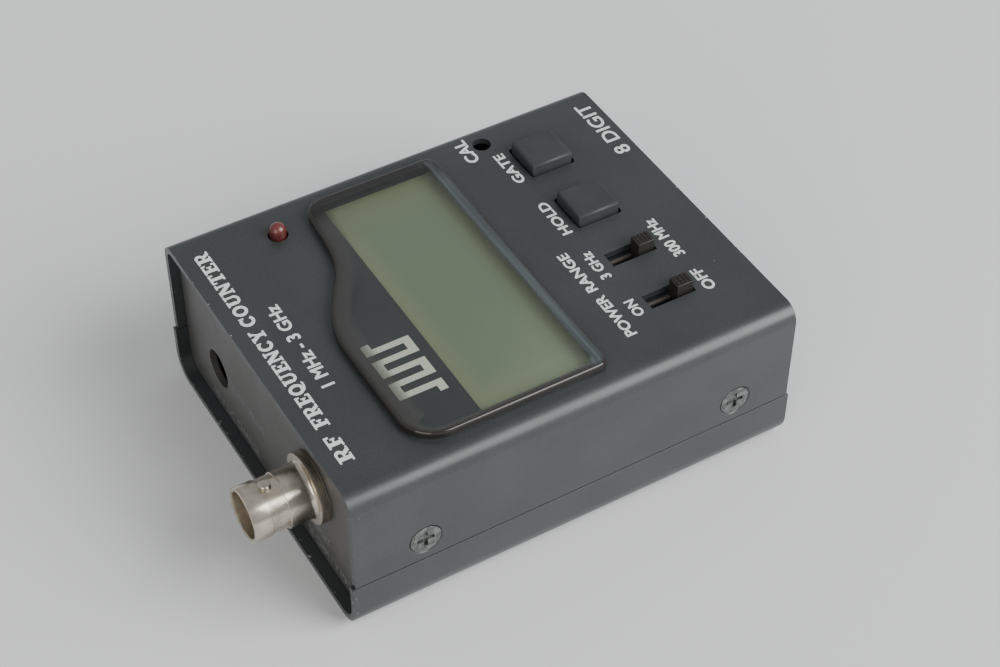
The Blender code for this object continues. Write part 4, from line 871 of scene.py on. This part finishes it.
def slab_letters():
    """Strokes and width of each heavy slab letter used in the title."""
    ring = bow((0.44, 0.5), (0.33, 0.4), (0, 360), 0.21, 28)
    return {
        "F": (stem(0.13) + [flat(0.13, 1 - ARM, 0.8, 1.0), flat(0.68, 0.68, 0.8, 1.0),
                            flat(0.3, 0.43, 0.6, 0.57), flat(0.53, 0.34, 0.63, 0.66)], 0.84),
        "R": (stem(0.13) + [flat(0.13, 1 - ARM, 0.55, 1.0), flat(0.2, 0.41, 0.55, 0.54),
                            bow((0.53, 0.705), (0.2, 0.225), (-90, 90), 0.19),
                            bar((0.5, 0.5), (0.76, 0.05), 0.22), flat(0.62, 0.0, 0.95, SERIF)], 0.98),
        "E": (stem(0.13) + [flat(0.13, 1 - ARM, 0.8, 1.0), flat(0.68, 0.7, 0.8, 1.0),
                            flat(0.13, 0.0, 0.82, ARM), flat(0.7, 0.0, 0.82, 0.3),
                            flat(0.3, 0.43, 0.58, 0.57), flat(0.52, 0.34, 0.62, 0.66)], 0.87),
        "Q": ([ring, bow((0.4, 0.09), (0.16, 0.1), (60, 215), 0.12),
               bar((0.3, 0.02), (0.6, -0.08), 0.13),
               bow((0.72, 0.02), (0.14, 0.1), (210, 350), 0.12)], 0.93),
        "U": ([flat(0.1, 0.35, 0.1 + STEM, 1.0), flat(0.0, 1 - SERIF, 0.44, 1.0),
               flat(0.68, 0.35, 0.82, 1.0), flat(0.56, 1 - SERIF, 0.94, 1.0),
               bow((0.465, 0.36), (0.28, 0.27), (180, 360), 0.19)], 0.97),
        "N": ([flat(0.1, 0.0, 0.25, 1.0), flat(0.0, 0.0, 0.36, SERIF), flat(0.0, 1 - SERIF, 0.36, 1.0),
               bar((0.2, 0.93), (0.78, 0.07), 0.25), flat(0.74, 0.0, 0.89, 1.0),
               flat(0.62, 1 - SERIF, 1.0, 1.0)], 1.03),
        "C": ([bow((0.44, 0.5), (0.33, 0.4), (48, 318), 0.21, 22),
               flat(0.68, 0.64, 0.78, 0.98)], 0.86),
        "Y": ([bar((0.17, 0.95), (0.5, 0.45), 0.24), bar((0.8, 0.95), (0.5, 0.45), 0.15),
               flat(0.38, 0.0, 0.38 + STEM, 0.5), flat(0.25, 0.0, 0.75, SERIF),
               flat(0.0, 1 - SERIF, 0.4, 1.0), flat(0.6, 1 - SERIF, 0.96, 1.0)], 0.99),
        "O": ([ring], 0.91),
        "T": (stem(0.3, 0.0, 0.9) + [flat(0.02, 1 - ARM, 0.82, 1.0), flat(0.02, 0.66, 0.13, 1.0),
                                     flat(0.71, 0.66, 0.82, 1.0)], 0.87),
    }


def strokes_mesh(name, strokes):
    """One closed sheet of ink from strokes that overlap."""
    bm = bmesh.new()
    for stroke in strokes:
        count = len(stroke)
        closed = count > 20 and (stroke[0] - stroke[count // 2 - 1]).length < 1e-4     # a full ring
        if closed:
            half = count // 2
            outer, inner = stroke[:half - 1], stroke[half:][::-1][:half - 1]
            rings = [[bm.verts.new((p.x, p.y, z)) for p in points]
                     for points, z in ((outer, 0.0), (outer, 1.0), (inner, 1.0), (inner, 0.0))]
            for a, b in zip(rings, rings[1:] + rings[:1]):
                for k in range(len(a)):
                    n = (k + 1) % len(a)
                    bm.faces.new((a[k], a[n], b[n], b[k]))
            continue
        low = [bm.verts.new((p.x, p.y, 0.0)) for p in stroke]
        high = [bm.verts.new((p.x, p.y, 1.0)) for p in stroke]
        bm.faces.new(low[::-1])
        bm.faces.new(high)
        for k in range(count):
            n = (k + 1) % count
            bm.faces.new((low[k], low[n], high[n], high[k]))
    bmesh.ops.recalc_face_normals(bm, faces=bm.faces)
    mesh = bpy.data.meshes.new(name)
    bm.to_mesh(mesh)
    bm.free()
    return one_sheet(mesh)


def one_sheet(mesh):
    """Joins overlapping strokes into one closed sheet."""
    obj = new_object(mesh.name, mesh)
    nothing = new_object("nothing", bpy.data.meshes.new("nothing"))
    union = obj.modifiers.new("one_sheet", "BOOLEAN")
    union.solver = "EXACT"
    union.operation = "UNION"
    union.use_self = True
    union.object = nothing
    applied(obj)
    joined = obj.data
    bpy.data.objects.remove(obj)
    bpy.data.objects.remove(nothing)
    return joined


def slab_mesh(text):
    """Strokes of a word in heavy slab letters, set close."""
    letters, strokes, x = slab_letters(), [], 0.0
    for letter in text:
        shapes, width = letters[letter]
        strokes += [[point + Vector((x, 0.0)) for point in shape] for shape in shapes]
        x += width + 0.05
    return strokes_mesh("title", strokes)


# Words with their left, right, foot and head in millimetres, as they lie on the case
TITLE_WORDS = (("RF", -26.4, -20.2), ("FREQUENCY", -18.0, 6.8), ("COUNTER", 8.1, 28.25))
TITLE_FOOT, TITLE_HEAD = 36.75, 39.4
Q_TAIL = 0.14                # of the title's height, below its foot
HEAVY, THIN = 0.026, 0.014   # how much wider the plain letters get, in units of their size
FACE_WORDS = (
    ("1 MHz - 3 GHz", -10.5, 10.6, 32.0, 34.4), ("POWER", -25.5, -15.0, -16.1, -14.1),
    ("RANGE", -13.5, -3.1, -16.1, -14.1), ("ON", -22.25, -18.25, -19.8, -17.85),
    ("3 GHz", -12.0, -4.75, -19.8, -17.85), ("HOLD", 0.75, 9.9, -19.95, -17.95),
    ("GATE", 16.35, 25.0, -19.95, -17.95), ("CAL", 25.25, 31.75, -15.75, -13.35),
    ("OFF", -22.9, -17.5, -33.75, -31.6), ("300 MHz", -13.5, -3.25, -33.75, -31.6))
THIN_WORDS = (("8 DIGIT", 14.0, 29.3, -40.6, -37.7),)
PANEL_WORDS = (
    ("DC", 21.5, 18.7, 21.2, 23.4), ("CENTER", 15.1, 9.2, 11.0, 13.2), ("PLUS", 7.8, 1.9, 11.0, 13.2),
    ("10 V DC CHARGE", 22.8, 5.0, 2.5, 4.6), ("INPUT", -15.0, -21.9, 6.4, 8.4),
    ("50 OHM 1 V MAX", -13.8, -29.4, 2.5, 4.8))


def build_lettering(scene):
    """The title in heavy slab letters, and the labels in the plain face."""
    thickness = scene.counter_print.thickness
    for text, left, right in TITLE_WORDS:
        tail = Q_TAIL * (TITLE_HEAD - TITLE_FOOT) if "Q" in text else 0.0
        mesh = fitted(slab_mesh(text), (right - left) * MM, (TITLE_HEAD - TITLE_FOOT + tail) * MM,
                      thickness, on_face(left * MM, (TITLE_FOOT - tail) * MM))
        piece(new_object(f"title_{text.lower()}", mesh), "case", "painted_case", material="ink")
    for group, words, weight, laid, ink in (
            ("face_label", FACE_WORDS, HEAVY, on_face, "ink"),
            ("light_label", THIN_WORDS, THIN, on_face, "ink"),
            ("panel_label", PANEL_WORDS, 0.0, on_panel, "faint_ink")):
        for number, (text, left, right, foot, head) in enumerate(words, 1):
            mesh = fitted(sans_mesh(text, weight), abs(right - left) * MM, (head - foot) * MM, thickness,
                          laid(left * MM, foot * MM))
            piece(new_object(f"{group}_{number}", mesh), "case", "painted_case", material=ink)


# ---------------------------------------------------------------- case and screws

DRIVE_TURN = 0.6     # how much further each floor screw's cross is turned, in radians


def build_case(scene):
    """The folded sheets and the end panels, with rounded cut edges."""
    radius = scene.counter_case.edge_radius
    for node in ("top_cover", "base_shell"):
        from_cad(node, "case", "painted_case", radius)
    for node in ("connector_end_panel", "plain_end_panel"):
        # The end panels take the rougher, lighter paint, whose lightness is painted light.
        from_cad(node, "case", "painted_case", radius, "matt_lightened_paint")


def build_screws():
    """The side and floor screws from one tree. The screws inside keep their own shape."""
    tree = screw_tree()
    for kind in ("side_screw", "base_screw"):
        nodes = [f"{kind}_{number}" for number in range(1, 5)]
        places, turns = [], []
        for number, node in enumerate(nodes, 1):
            low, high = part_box(node)
            middle = (low + high) / 2
            if kind == "side_screw":
                side = 1 if middle.x > 0 else -1
                places.append((high.x if side > 0 else low.x, middle.y, middle.z))
                turns.append((0.0, side * math.pi / 2, 0.0))
                reach = high.x - low.x
            else:
                places.append((middle.x, middle.y, low.z))
                turns.append((math.pi, 0.0, DRIVE_TURN * number))
                reach = high.z - low.z
        screws = points_object(f"{kind}s", places, turns)
        grown(screws, tree, {"Length": reach, "Material": MATERIALS["blackened_screws"]})
        soft_shading(screws.data, 30)
        piece(screws, "case", "blackened_screws", *nodes)


# ---------------------------------------------------------------- display

LENS_WALL = 1.1 * MM         # round the pocket in the lens's back
LENS_POCKET = 0.8 * MM       # its depth
MARK_FOOT_LEFT = (-21.0 * MM, 17.0 * MM)     # the mark's near left corner
MARK_WIDTH, MARK_HEIGHT = 15.0 * MM, 8.2 * MM
# The lens outline, with the S-curve where its head steps down to the right
LENS_CORNERS = [
    (LENS_LOW.x, LENS_LOW.y, 2.0 * MM, 8), (LENS_HIGH.x, LENS_LOW.y, 2.2 * MM, 8),
    (LENS_HIGH.x, LENS_LOW.y + 25.9 * MM, 4.0 * MM, 10),
    (13.0 * MM, LENS_LOW.y + 27.6 * MM, 18.0 * MM, 12),
    (-0.3 * MM, LENS_HIGH.y, 20.0 * MM, 14), (LENS_LOW.x, LENS_HIGH.y, 6.5 * MM, 12)]


def lens_profile(settings):
    """Insets and heights of the lens's rings, from its pocket round the rim to the top."""
    floor, top = LENS_LOW.z, LENS_HIGH.z
    radius, crown, reach = settings.rounding, settings.crown, settings.crown_reach
    rim_end = math.pi / 2 - math.atan2(2 * crown, reach)     # the rim's arc runs on into the crown
    centre = top - crown - radius * math.sin(rim_end)
    start = radius * (1 - math.cos(rim_end))
    rings = [(LENS_WALL, floor + LENS_POCKET), (LENS_WALL, floor), (0.0, floor)]
    for k in range(9):
        a = rim_end * k / 8
        rings.append((radius * (1 - math.cos(a)), centre + radius * math.sin(a)))
    for k in range(1, 9):
        rings.append((start + reach * k / 8, top - crown * (1 - k / 8) ** 2))
    return rings


def lens_object(settings):
    """The lens skin, with each point's inset from the rim kept on the mesh."""
    bm = bmesh.new()
    layer = bm.verts.layers.float.new("inset")
    rings = []
    for index, (inset, height) in enumerate(lens_profile(settings)):
        ring = []
        for point in rounded_outline(inset_corners(LENS_CORNERS, inset) if inset else LENS_CORNERS):
            vert = bm.verts.new((point.x, point.y, height))
            vert[layer] = 2 * settings.rim_light_and_shade_reach if index < 2 else inset     # the pocket stays clear
            ring.append(vert)
        rings.append(ring)
    for lower, upper in zip(rings, rings[1:]):
        for k in range(len(lower)):
            n = (k + 1) % len(lower)
            bm.faces.new((lower[k], lower[n], upper[n], upper[k]))
    bm.faces.new(rings[-1])
    bm.faces.new(rings[0][::-1])
    mesh = mesh_from("clear_lens_sheet", bm, merge=False)
    return new_object("clear_lens_sheet", soft_shading(mesh, 50))


def pulse_strokes(thick=0.22):
    """A train of square pulses."""
    corners = [(-0.35, 0.0), (0.0, 0.0), (0.0, 1.0), (0.5, 1.0), (0.5, 0.0), (1.0, 0.0), (1.0, 1.0),
               (1.5, 1.0), (1.5, 0.0), (2.0, 0.0), (2.0, 1.0), (2.35, 1.0)]
    half = thick / 2
    return [flat(min(x0, x1) - half * (x0 == x1), min(y0, y1) - half,
                 max(x0, x1) + half * (x0 == x1), max(y0, y1) + half)
            for (x0, y0), (x1, y1) in zip(corners, corners[1:])]


def build_display(scene):
    """The clear lens and the mark printed beside the display."""
    piece(lens_object(scene.counter_display), "case", "clear_lens", "display_lens")
    place = Matrix.Translation((*MARK_FOOT_LEFT, MASK_TOP))
    mark = fitted(strokes_mesh("mark", pulse_strokes()), MARK_WIDTH, MARK_HEIGHT,
                  scene.counter_print.thickness, place)
    piece(new_object("pulse_mark", mark), "case", "mask_black", material="mark_ink")


# ---------------------------------------------------------------- controls

BUTTON_SKIN = 0.14 * MM      # how much wider a key's cap is than its solid
CAP_EDGE, KNOB_EDGE = 0.15 * MM, 0.16 * MM
RAIL_PLACE = 1.18 * MM       # from a switch's middle to the middle of each rail
RAIL_HALF = 0.3 * MM
RAIL_RISE = 0.15 * MM        # above the switch's body
RAIL_MARGIN = 1.2 * MM       # from the body's ends
RAIL_SINK = 0.4 * MM         # into the body
GRIP_LENGTH = 0.8            # of the knob's length, over all its ridges
GRIP_BAR = 0.24              # of the knob's width, for each short bar
GRIP_RADIUS = 0.36           # of the distance between ridges
GRIP_SINK = 0.1 * MM         # into the knob


def build_controls(scene):
    """The keys' caps, the slide knobs with their grips, and the rails under the knobs."""
    for name in ("gate", "hold"):
        node = f"{name}_button"
        cap = rounded(merged_copy(node, f"{node}_finish"), CAP_EDGE, 3)
        low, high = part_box(node)
        middle = Matrix.Translation((low + high) / 2)
        wider = 1 + 2 * BUTTON_SKIN / (high.x - low.x)
        cap.data.transform(middle @ Matrix.Diagonal((wider, wider, 1.0, 1.0)) @ middle.inverted())
        piece(cap, f"{name}_key", "black_plastic", node)
    tree = ridge_tree()
    for name in ("power", "range"):
        node = f"{name}_switch_knob"
        low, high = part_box(node)
        knob = rounded(merged_copy(node, f"{name}_knob_finish"), KNOB_EDGE, 2)
        piece(knob, f"{name}_knob", "black_plastic", node, material="knob")
        middle = (low + high) / 2
        count = scene.counter_fittings.ridges
        pitch = (high.y - low.y) * GRIP_LENGTH / (count - 0.4)
        ridges = points_object(f"{name}_knob_ridges", [(middle.x, middle.y, high.z - GRIP_SINK)])
        grown(ridges, tree, {"Count": count, "Pitch": pitch, "Width": (high.x - low.x) * GRIP_BAR,
                             "Radius": pitch * GRIP_RADIUS, "Material": MATERIALS["knob"]})
        soft_shading(ridges.data)
        piece(ridges, f"{name}_knob", "black_plastic")
        body_low, body_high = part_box(f"{name}_switch_body")
        bm = bmesh.new()
        for x in (middle.x - RAIL_PLACE, middle.x + RAIL_PLACE):
            box_into(bm, (x - RAIL_HALF, body_low.y + RAIL_MARGIN, body_high.z - RAIL_SINK),
                     (x + RAIL_HALF, body_high.y - RAIL_MARGIN, body_high.z + RAIL_RISE))
        rails = rounded(new_object(f"{name}_rails", mesh_from(f"{name}_rails", bm)), 0.08 * MM, 2)
        piece(rails, "case", "black_plastic", material="rail")


LIGHT_RADIUS = 1.5 * MM
LIGHT_FLANGE_RADIUS = 1.9 * MM
LIGHT_FLANGE_DROP = 3.9 * MM     # from the middle of the dome to the flange
LIGHT_FLANGE_HEIGHT = 1.0 * MM
LEAD_PITCH, LEAD_HALF = 2.54 * MM, 0.25 * MM


def build_light():
    """The power light: a domed epoxy body with a flange, on two square leads."""
    low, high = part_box("power_led")
    x, y = (low.x + high.x) / 2, (low.y + high.y) / 2
    dome = high.z - LIGHT_RADIUS
    flange_top = dome - LIGHT_FLANGE_DROP
    flange_foot = flange_top - LIGHT_FLANGE_HEIGHT
    profile = [(0.0, high.z)]
    profile += [(LIGHT_RADIUS * math.sin(a), dome + LIGHT_RADIUS * math.cos(a))
                for a in (math.pi / 2 * k / 12 for k in range(1, 13))]
    profile += [(LIGHT_RADIUS, flange_top + 0.1 * MM), (LIGHT_RADIUS + 0.1 * MM, flange_top),
                (LIGHT_FLANGE_RADIUS, flange_top), (LIGHT_FLANGE_RADIUS, flange_foot), (0.0, flange_foot)]
    bm = bmesh.new()
    lathe_into(bm, profile, Matrix.Translation((x, y, 0)), 48)
    light = new_object("power_light_epoxy", soft_shading(mesh_from("power_light_epoxy", bm)))
    piece(light, "case", "red_light", "power_led")
    bm = bmesh.new()
    for lead in (x - LEAD_PITCH / 2, x + LEAD_PITCH / 2):
        box_into(bm, (lead - LEAD_HALF, y - LEAD_HALF, low.z),
                 (lead + LEAD_HALF, y + LEAD_HALF, flange_foot))
    leads = rounded(new_object("power_light_leads", mesh_from("power_light_leads", bm)), 0.05 * MM, 1)
    piece(leads, "case", "plated_steel")


# ---------------------------------------------------------------- sockets

# The coaxial input's sizes in millimetres, along its axis from the end panel's face
MOUTH_RADIUS, NECK_RADIUS, REAR_RADIUS, FLANGE_RADIUS = 4.825, 4.65, 4.9, 6.35
THREAD_RADIUS, INSULATOR_HOLE = 4.7, 2.7
BORE_RADIUS, BORE_DEPTH = 4.06, 8.3
FLANGE_FRONT, FLANGE_BACK = 1.72, 0.36
FILLET_WIDTH, FILLET_HEIGHT = 0.42, 0.95     # between the barrel and the flange
INSIDE_END = -8.0
GROOVES, GROOVE_PITCH = 9, 0.29
LUG_PLACE, SPOT_RADIUS, SPOT_FLAT = 8.5, 2.5, 4.5
INSULATOR_DEPTH = 3.4                        # from the mouth


def input_profile(end):
    """Radii and heights of the turned shell: outside from the mouth back, then the bore."""
    profile = [(4.3, end), (4.7, end), (MOUTH_RADIUS - 0.03, end - 0.05), (MOUTH_RADIUS, end - 0.15),
               (MOUTH_RADIUS, end - 3.22), (MOUTH_RADIUS - 0.06, end - 3.3), (NECK_RADIUS, end - 3.3)]
    for k in range(GROOVES):
        y = end - 3.6 - GROOVE_PITCH * k
        profile += [(NECK_RADIUS, y + 0.06), (NECK_RADIUS - 0.04, y + 0.02),
                    (NECK_RADIUS - 0.04, y - 0.02), (NECK_RADIUS, y - 0.06)]
    foot = FLANGE_FRONT + FILLET_HEIGHT + 0.03
    profile += [(NECK_RADIUS, end - 6.3), (REAR_RADIUS - 0.06, end - 6.3), (REAR_RADIUS, end - 6.38),
                (REAR_RADIUS, foot)]
    profile += [(REAR_RADIUS + FILLET_WIDTH * (1 - math.cos(a)), foot - FILLET_HEIGHT * math.sin(a))
                for a in (math.pi / 2 * k / 5 for k in range(1, 6))]
    profile += [(FLANGE_RADIUS - 0.12, FLANGE_FRONT), (FLANGE_RADIUS - 0.03, FLANGE_FRONT - 0.04),
                (FLANGE_RADIUS, FLANGE_FRONT - 0.14), (FLANGE_RADIUS, FLANGE_BACK + 0.09),
                (FLANGE_RADIUS - 0.1, FLANGE_BACK), (THREAD_RADIUS, FLANGE_BACK),
                (THREAD_RADIUS, INSIDE_END), (INSULATOR_HOLE, INSIDE_END)]
    return profile + [(INSULATOR_HOLE, end - BORE_DEPTH), (BORE_RADIUS, end - BORE_DEPTH),
                      (BORE_RADIUS, end - 0.3), (BORE_RADIUS + 0.04, end - 0.12)]


def in_metres(profile):
    """A profile in millimetres turned to metres."""
    return [(radius * MM, height * MM) for radius, height in profile]


def input_shell(end, place):
    """The turned shell with flat spots under its lugs, and its bore and flange rim in darker copies of its
    finish, as painted shade.
    """
    bm = bmesh.new()
    lathe_into(bm, in_metres(input_profile(end)), place, 96)
    shell = new_object("input_shell_turned", mesh_from("input_shell_turned", bm))
    lug_y = PANEL_FACE + LUG_PLACE * MM
    spot = [(0.0, SPOT_FLAT), (SPOT_RADIUS, SPOT_FLAT), (SPOT_RADIUS, 6.0), (0.0, 6.0)]
    lug = [(0.0, 4.3), (1.12, 4.3), (1.12, 4.58), (1.0, 4.64), (1.0, 5.2), (0.9, 5.3), (0.0, 5.3)]
    spots, pins = bmesh.new(), bmesh.new()
    for turn in (0, math.pi):
        up = Matrix.Translation((BNC_X, lug_y, BNC_Z)) @ Matrix.Rotation(turn, 4, "X")
        lathe_into(spots, in_metres(spot), up, 48)
        lathe_into(pins, in_metres(lug), up, 32)
    cutter = new_object("spot_faces", mesh_from("spot_faces", spots))
    cut = shell.modifiers.new("spot_faces", "BOOLEAN")
    cut.solver = "EXACT"
    cut.object = cutter
    applied(shell)
    bpy.data.objects.remove(cutter)
    for finish in ("nickel_plate", "bore", "rim"):
        shell.data.materials.append(MATERIALS[finish])
    # Faces in the bore and on the flange's rim get the darker finishes, which are painted shade.
    for face in shell.data.polygons:
        off_axis = math.hypot(face.center.x - BNC_X, face.center.z - BNC_Z) / MM
        inner = off_axis < BORE_RADIUS + 0.14 and face.center.y > PANEL_FACE + 0.5 * MM
        face.material_index = 1 if inner else 2 if off_axis > FLANGE_RADIUS - 0.13 else 0
    soft_shading(shell.data, 30)
    piece(shell, "case", "nickel_plate", "bnc_shell")
    lugs = new_object("input_lugs", soft_shading(mesh_from("input_lugs", pins), 30))
    piece(lugs, "case", "nickel_plate")


def build_input():
    """The coaxial input: its shell and lugs, and the insulator, the contact and the gasket."""
    end = (BNC_HIGH.y - PANEL_FACE) / MM
    place = Matrix.Translation((BNC_X, PANEL_FACE, BNC_Z)) @ Matrix.Rotation(-math.pi / 2, 4, "X")
    input_shell(end, place)
    front = end - INSULATOR_DEPTH
    socket = front - 5.3         # the bottom of the contact's own hole
    parts = {
        "bnc_insulator": ("white_plastic", [
            (1.0, front), (2.3, front), (2.4, front - 0.1), (2.4, -9.0), (1.0, -9.0)]),
        "bnc_contact": ("gold_plate", [
            (0.0, socket), (0.4, socket), (0.4, front - 0.4), (0.5, front - 0.3), (0.62, front - 0.3),
            (0.7, front - 0.4), (0.7, -11.5), (0.0, -11.5)]),
        "bnc_gasket": ("gasket_rubber", [
            (6.15, 0.33), (6.2, 0.3), (6.2, 0.06), (6.15, 0.03), (5.0, 0.03), (5.0, 0.33)]),
    }
    for node, (slot, profile) in parts.items():
        bm = bmesh.new()
        lathe_into(bm, in_metres(profile), place, 40)
        part = new_object(f"{node}_turned", soft_shading(mesh_from(f"{node}_turned", bm), 30))
        piece(part, "case", slot, node)


def build_charger_socket():
    """The socket's body and its pin, with a rounded tip."""
    from_cad("dc_jack_body", "case", "black_plastic", 0.1 * MM)
    low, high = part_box("dc_jack_pin")
    x, z = (low.x + high.x) / 2, (low.z + high.z) / 2
    radius = (high.x - low.x) / 2
    bm = bmesh.new()
    profile = [(0.0, high.y), (radius * 0.55, high.y - 0.05 * MM), (radius * 0.9, high.y - 0.35 * MM),
               (radius, high.y - 0.8 * MM), (radius, low.y + 0.1 * MM), (radius * 0.9, low.y), (0.0, low.y)]
    lathe_into(bm, profile, Matrix.Translation((x, 0, z)) @ Matrix.Rotation(-math.pi / 2, 4, "X"), 32)
    pin = new_object("charger_pin_turned", soft_shading(mesh_from("charger_pin_turned", bm), 30))
    piece(pin, "case", "nickel_plate", "dc_jack_pin")


def finish_solids():
    """Gives every CAD node its slot's finish."""
    slots = {part["node"]: part["material_slot"] for part in frame["record"]["subparts"]}
    for name, node in NODES.items():
        node.data.materials.clear()
        node.data.materials.append(MATERIALS[slots[name]])


# ---------------------------------------------------------------- stage

CAMERA_PLACE = (-0.22769, 0.12984, 0.28068)
CAMERA_RIGHT = Vector((-0.50741375, -0.86170007, 0.00207022))
CAMERA_UP = Vector((0.61171624, -0.35851612, 0.70517334))
LIT_PLACE = Vector((0, 0, 0.02))      # what both lights face
SKY_COLOUR = (0.96, 0.98, 1.0, 1.0)
# Each light's place, size, share of the window's power, and tint
LIGHTS = {"window": ((-1.0, -0.85, 1.0), 1.2, 1.0, (1.0, 1.0, 1.0)),
          "lamp": ((-0.85, 1.15, 0.75), 1.0, 0.27, (1.0, 0.94, 0.88))}


def build_stage(scene):
    """The floor, the camera, the light from all round and the two broad lights."""
    settings = scene.counter_stage
    bm = bmesh.new()
    bmesh.ops.create_grid(bm, x_segments=2, y_segments=2, size=3.0)
    floor = new_object("floor", mesh_from("floor", bm))
    floor.data.materials.append(floor_paper("pale_paper", settings))
    camera = bpy.data.objects.new("camera", bpy.data.cameras.new("camera"))
    scene.collection.objects.link(camera)
    camera.data.lens = settings.lens
    camera.data.sensor_width = 36.0
    camera.data.sensor_fit = "HORIZONTAL"
    camera.data.clip_start = 0.01
    axes = Matrix((CAMERA_RIGHT, CAMERA_UP, CAMERA_RIGHT.cross(CAMERA_UP))).transposed()
    camera.matrix_world = Matrix.Translation(CAMERA_PLACE) @ axes.to_4x4()
    scene.camera = camera
    world = bpy.data.worlds.new("soft_room")
    world.use_nodes = True
    background = world.node_tree.nodes["Background"]
    background.inputs["Color"].default_value = SKY_COLOUR
    background.inputs["Strength"].default_value = settings.sky
    scene.world = world
    for name, (place, size, share_of_window, tint) in LIGHTS.items():
        lamp = bpy.data.lights.new(name, "AREA")
        lamp.shape = "SQUARE"
        lamp.size = size
        lamp.energy = settings.window * share_of_window
        lamp.color = tint
        light = bpy.data.objects.new(name, lamp)
        light.location = place
        light.rotation_euler = (Vector(place) - LIT_PLACE).to_track_quat("Z", "Y").to_euler()
        scene.collection.objects.link(light)


# ---------------------------------------------------------------- add-on

class COUNTER_OT_finishes(bpy.types.Operator):
    """Make all the materials"""
    bl_idname = "counter.finishes"
    bl_label = "Finishes"

    def execute(self, context):
        make_materials(context.scene)
        return {"FINISHED"}


class COUNTER_OT_inside(bpy.types.Operator):
    """Give the solids their finishes"""
    bl_idname = "counter.inside"
    bl_label = "Inner parts"

    def execute(self, context):
        finish_solids()
        return {"FINISHED"}


class COUNTER_OT_case(bpy.types.Operator):
    """Make the cover, the base and the end panels"""
    bl_idname = "counter.case"
    bl_label = "Case"

    def execute(self, context):
        build_case(context.scene)
        return {"FINISHED"}


class COUNTER_OT_screws(bpy.types.Operator):
    """Make the screws of the case"""
    bl_idname = "counter.screws"
    bl_label = "Screws"

    def execute(self, context):
        build_screws()
        return {"FINISHED"}


class COUNTER_OT_lettering(bpy.types.Operator):
    """Print the labels on the face and the end panel"""
    bl_idname = "counter.lettering"
    bl_label = "Lettering"

    def execute(self, context):
        build_lettering(context.scene)
        return {"FINISHED"}


class COUNTER_OT_display(bpy.types.Operator):
    """Make the clear lens and the mark under it"""
    bl_idname = "counter.display"
    bl_label = "Display"

    def execute(self, context):
        build_display(context.scene)
        return {"FINISHED"}


class COUNTER_OT_controls(bpy.types.Operator):
    """Make the keys and the slide knobs"""
    bl_idname = "counter.controls"
    bl_label = "Controls"

    def execute(self, context):
        build_controls(context.scene)
        return {"FINISHED"}


class COUNTER_OT_light(bpy.types.Operator):
    """Make the power light and its leads"""
    bl_idname = "counter.light"
    bl_label = "Power light"

    def execute(self, context):
        build_light()
        return {"FINISHED"}


class COUNTER_OT_input(bpy.types.Operator):
    """Make the coaxial input"""
    bl_idname = "counter.input"
    bl_label = "Input"

    def execute(self, context):
        build_input()
        return {"FINISHED"}


class COUNTER_OT_charger_socket(bpy.types.Operator):
    """Make the charger socket"""
    bl_idname = "counter.charger_socket"
    bl_label = "Charger socket"

    def execute(self, context):
        build_charger_socket()
        return {"FINISHED"}


class COUNTER_OT_stage(bpy.types.Operator):
    """Make the floor, the lights and the camera"""
    bl_idname = "counter.stage"
    bl_label = "Stage"

    def execute(self, context):
        build_stage(context.scene)
        return {"FINISHED"}


STEPS = (
    COUNTER_OT_finishes, COUNTER_OT_inside, COUNTER_OT_case, COUNTER_OT_screws,
    COUNTER_OT_lettering, COUNTER_OT_display, COUNTER_OT_controls, COUNTER_OT_light,
    COUNTER_OT_input, COUNTER_OT_charger_socket, COUNTER_OT_stage)
GROUPS = {"counter_case": CaseSettings, "counter_print": PrintSettings, "counter_display": DisplaySettings,
          "counter_fittings": FittingSettings, "counter_stage": StageSettings}


class COUNTER_PT_parts(bpy.types.Panel):
    """Lists the steps that build the counter."""
    bl_idname = "COUNTER_PT_parts"
    bl_label = "Frequency counter"
    bl_space_type = "VIEW_3D"
    bl_region_type = "UI"
    bl_category = "Counter"

    def draw(self, context):
        """Buttons for the steps, and a box for each group of settings."""
        for step in STEPS:
            self.layout.operator(step.bl_idname)
        for group in GROUPS:
            box = self.layout.box()
            settings = getattr(context.scene, group)
            for name in settings.__annotations__:
                box.prop(settings, name)


def register():
    """Adds the settings, the operators and the sidebar panel."""
    for item in (*GROUPS.values(), *STEPS, COUNTER_PT_parts):
        bpy.utils.register_class(item)
    for name, group in GROUPS.items():
        setattr(bpy.types.Scene, name, PointerProperty(type=group))


def unregister():
    """Takes them away again."""
    for name in GROUPS:
        delattr(bpy.types.Scene, name)
    for item in (COUNTER_PT_parts, *reversed(STEPS), *GROUPS.values()):
        bpy.utils.unregister_class(item)


def main():
    """Builds the counter and its stage."""
    register()
    for item in list(bpy.data.objects):
        if item.type in {"LIGHT", "CAMERA"}:
            bpy.data.objects.remove(item, do_unlink=True)
    for step in STEPS:
        getattr(bpy.ops.counter, step.bl_idname.split(".")[1])()


if __name__ == "__main__":
    main()
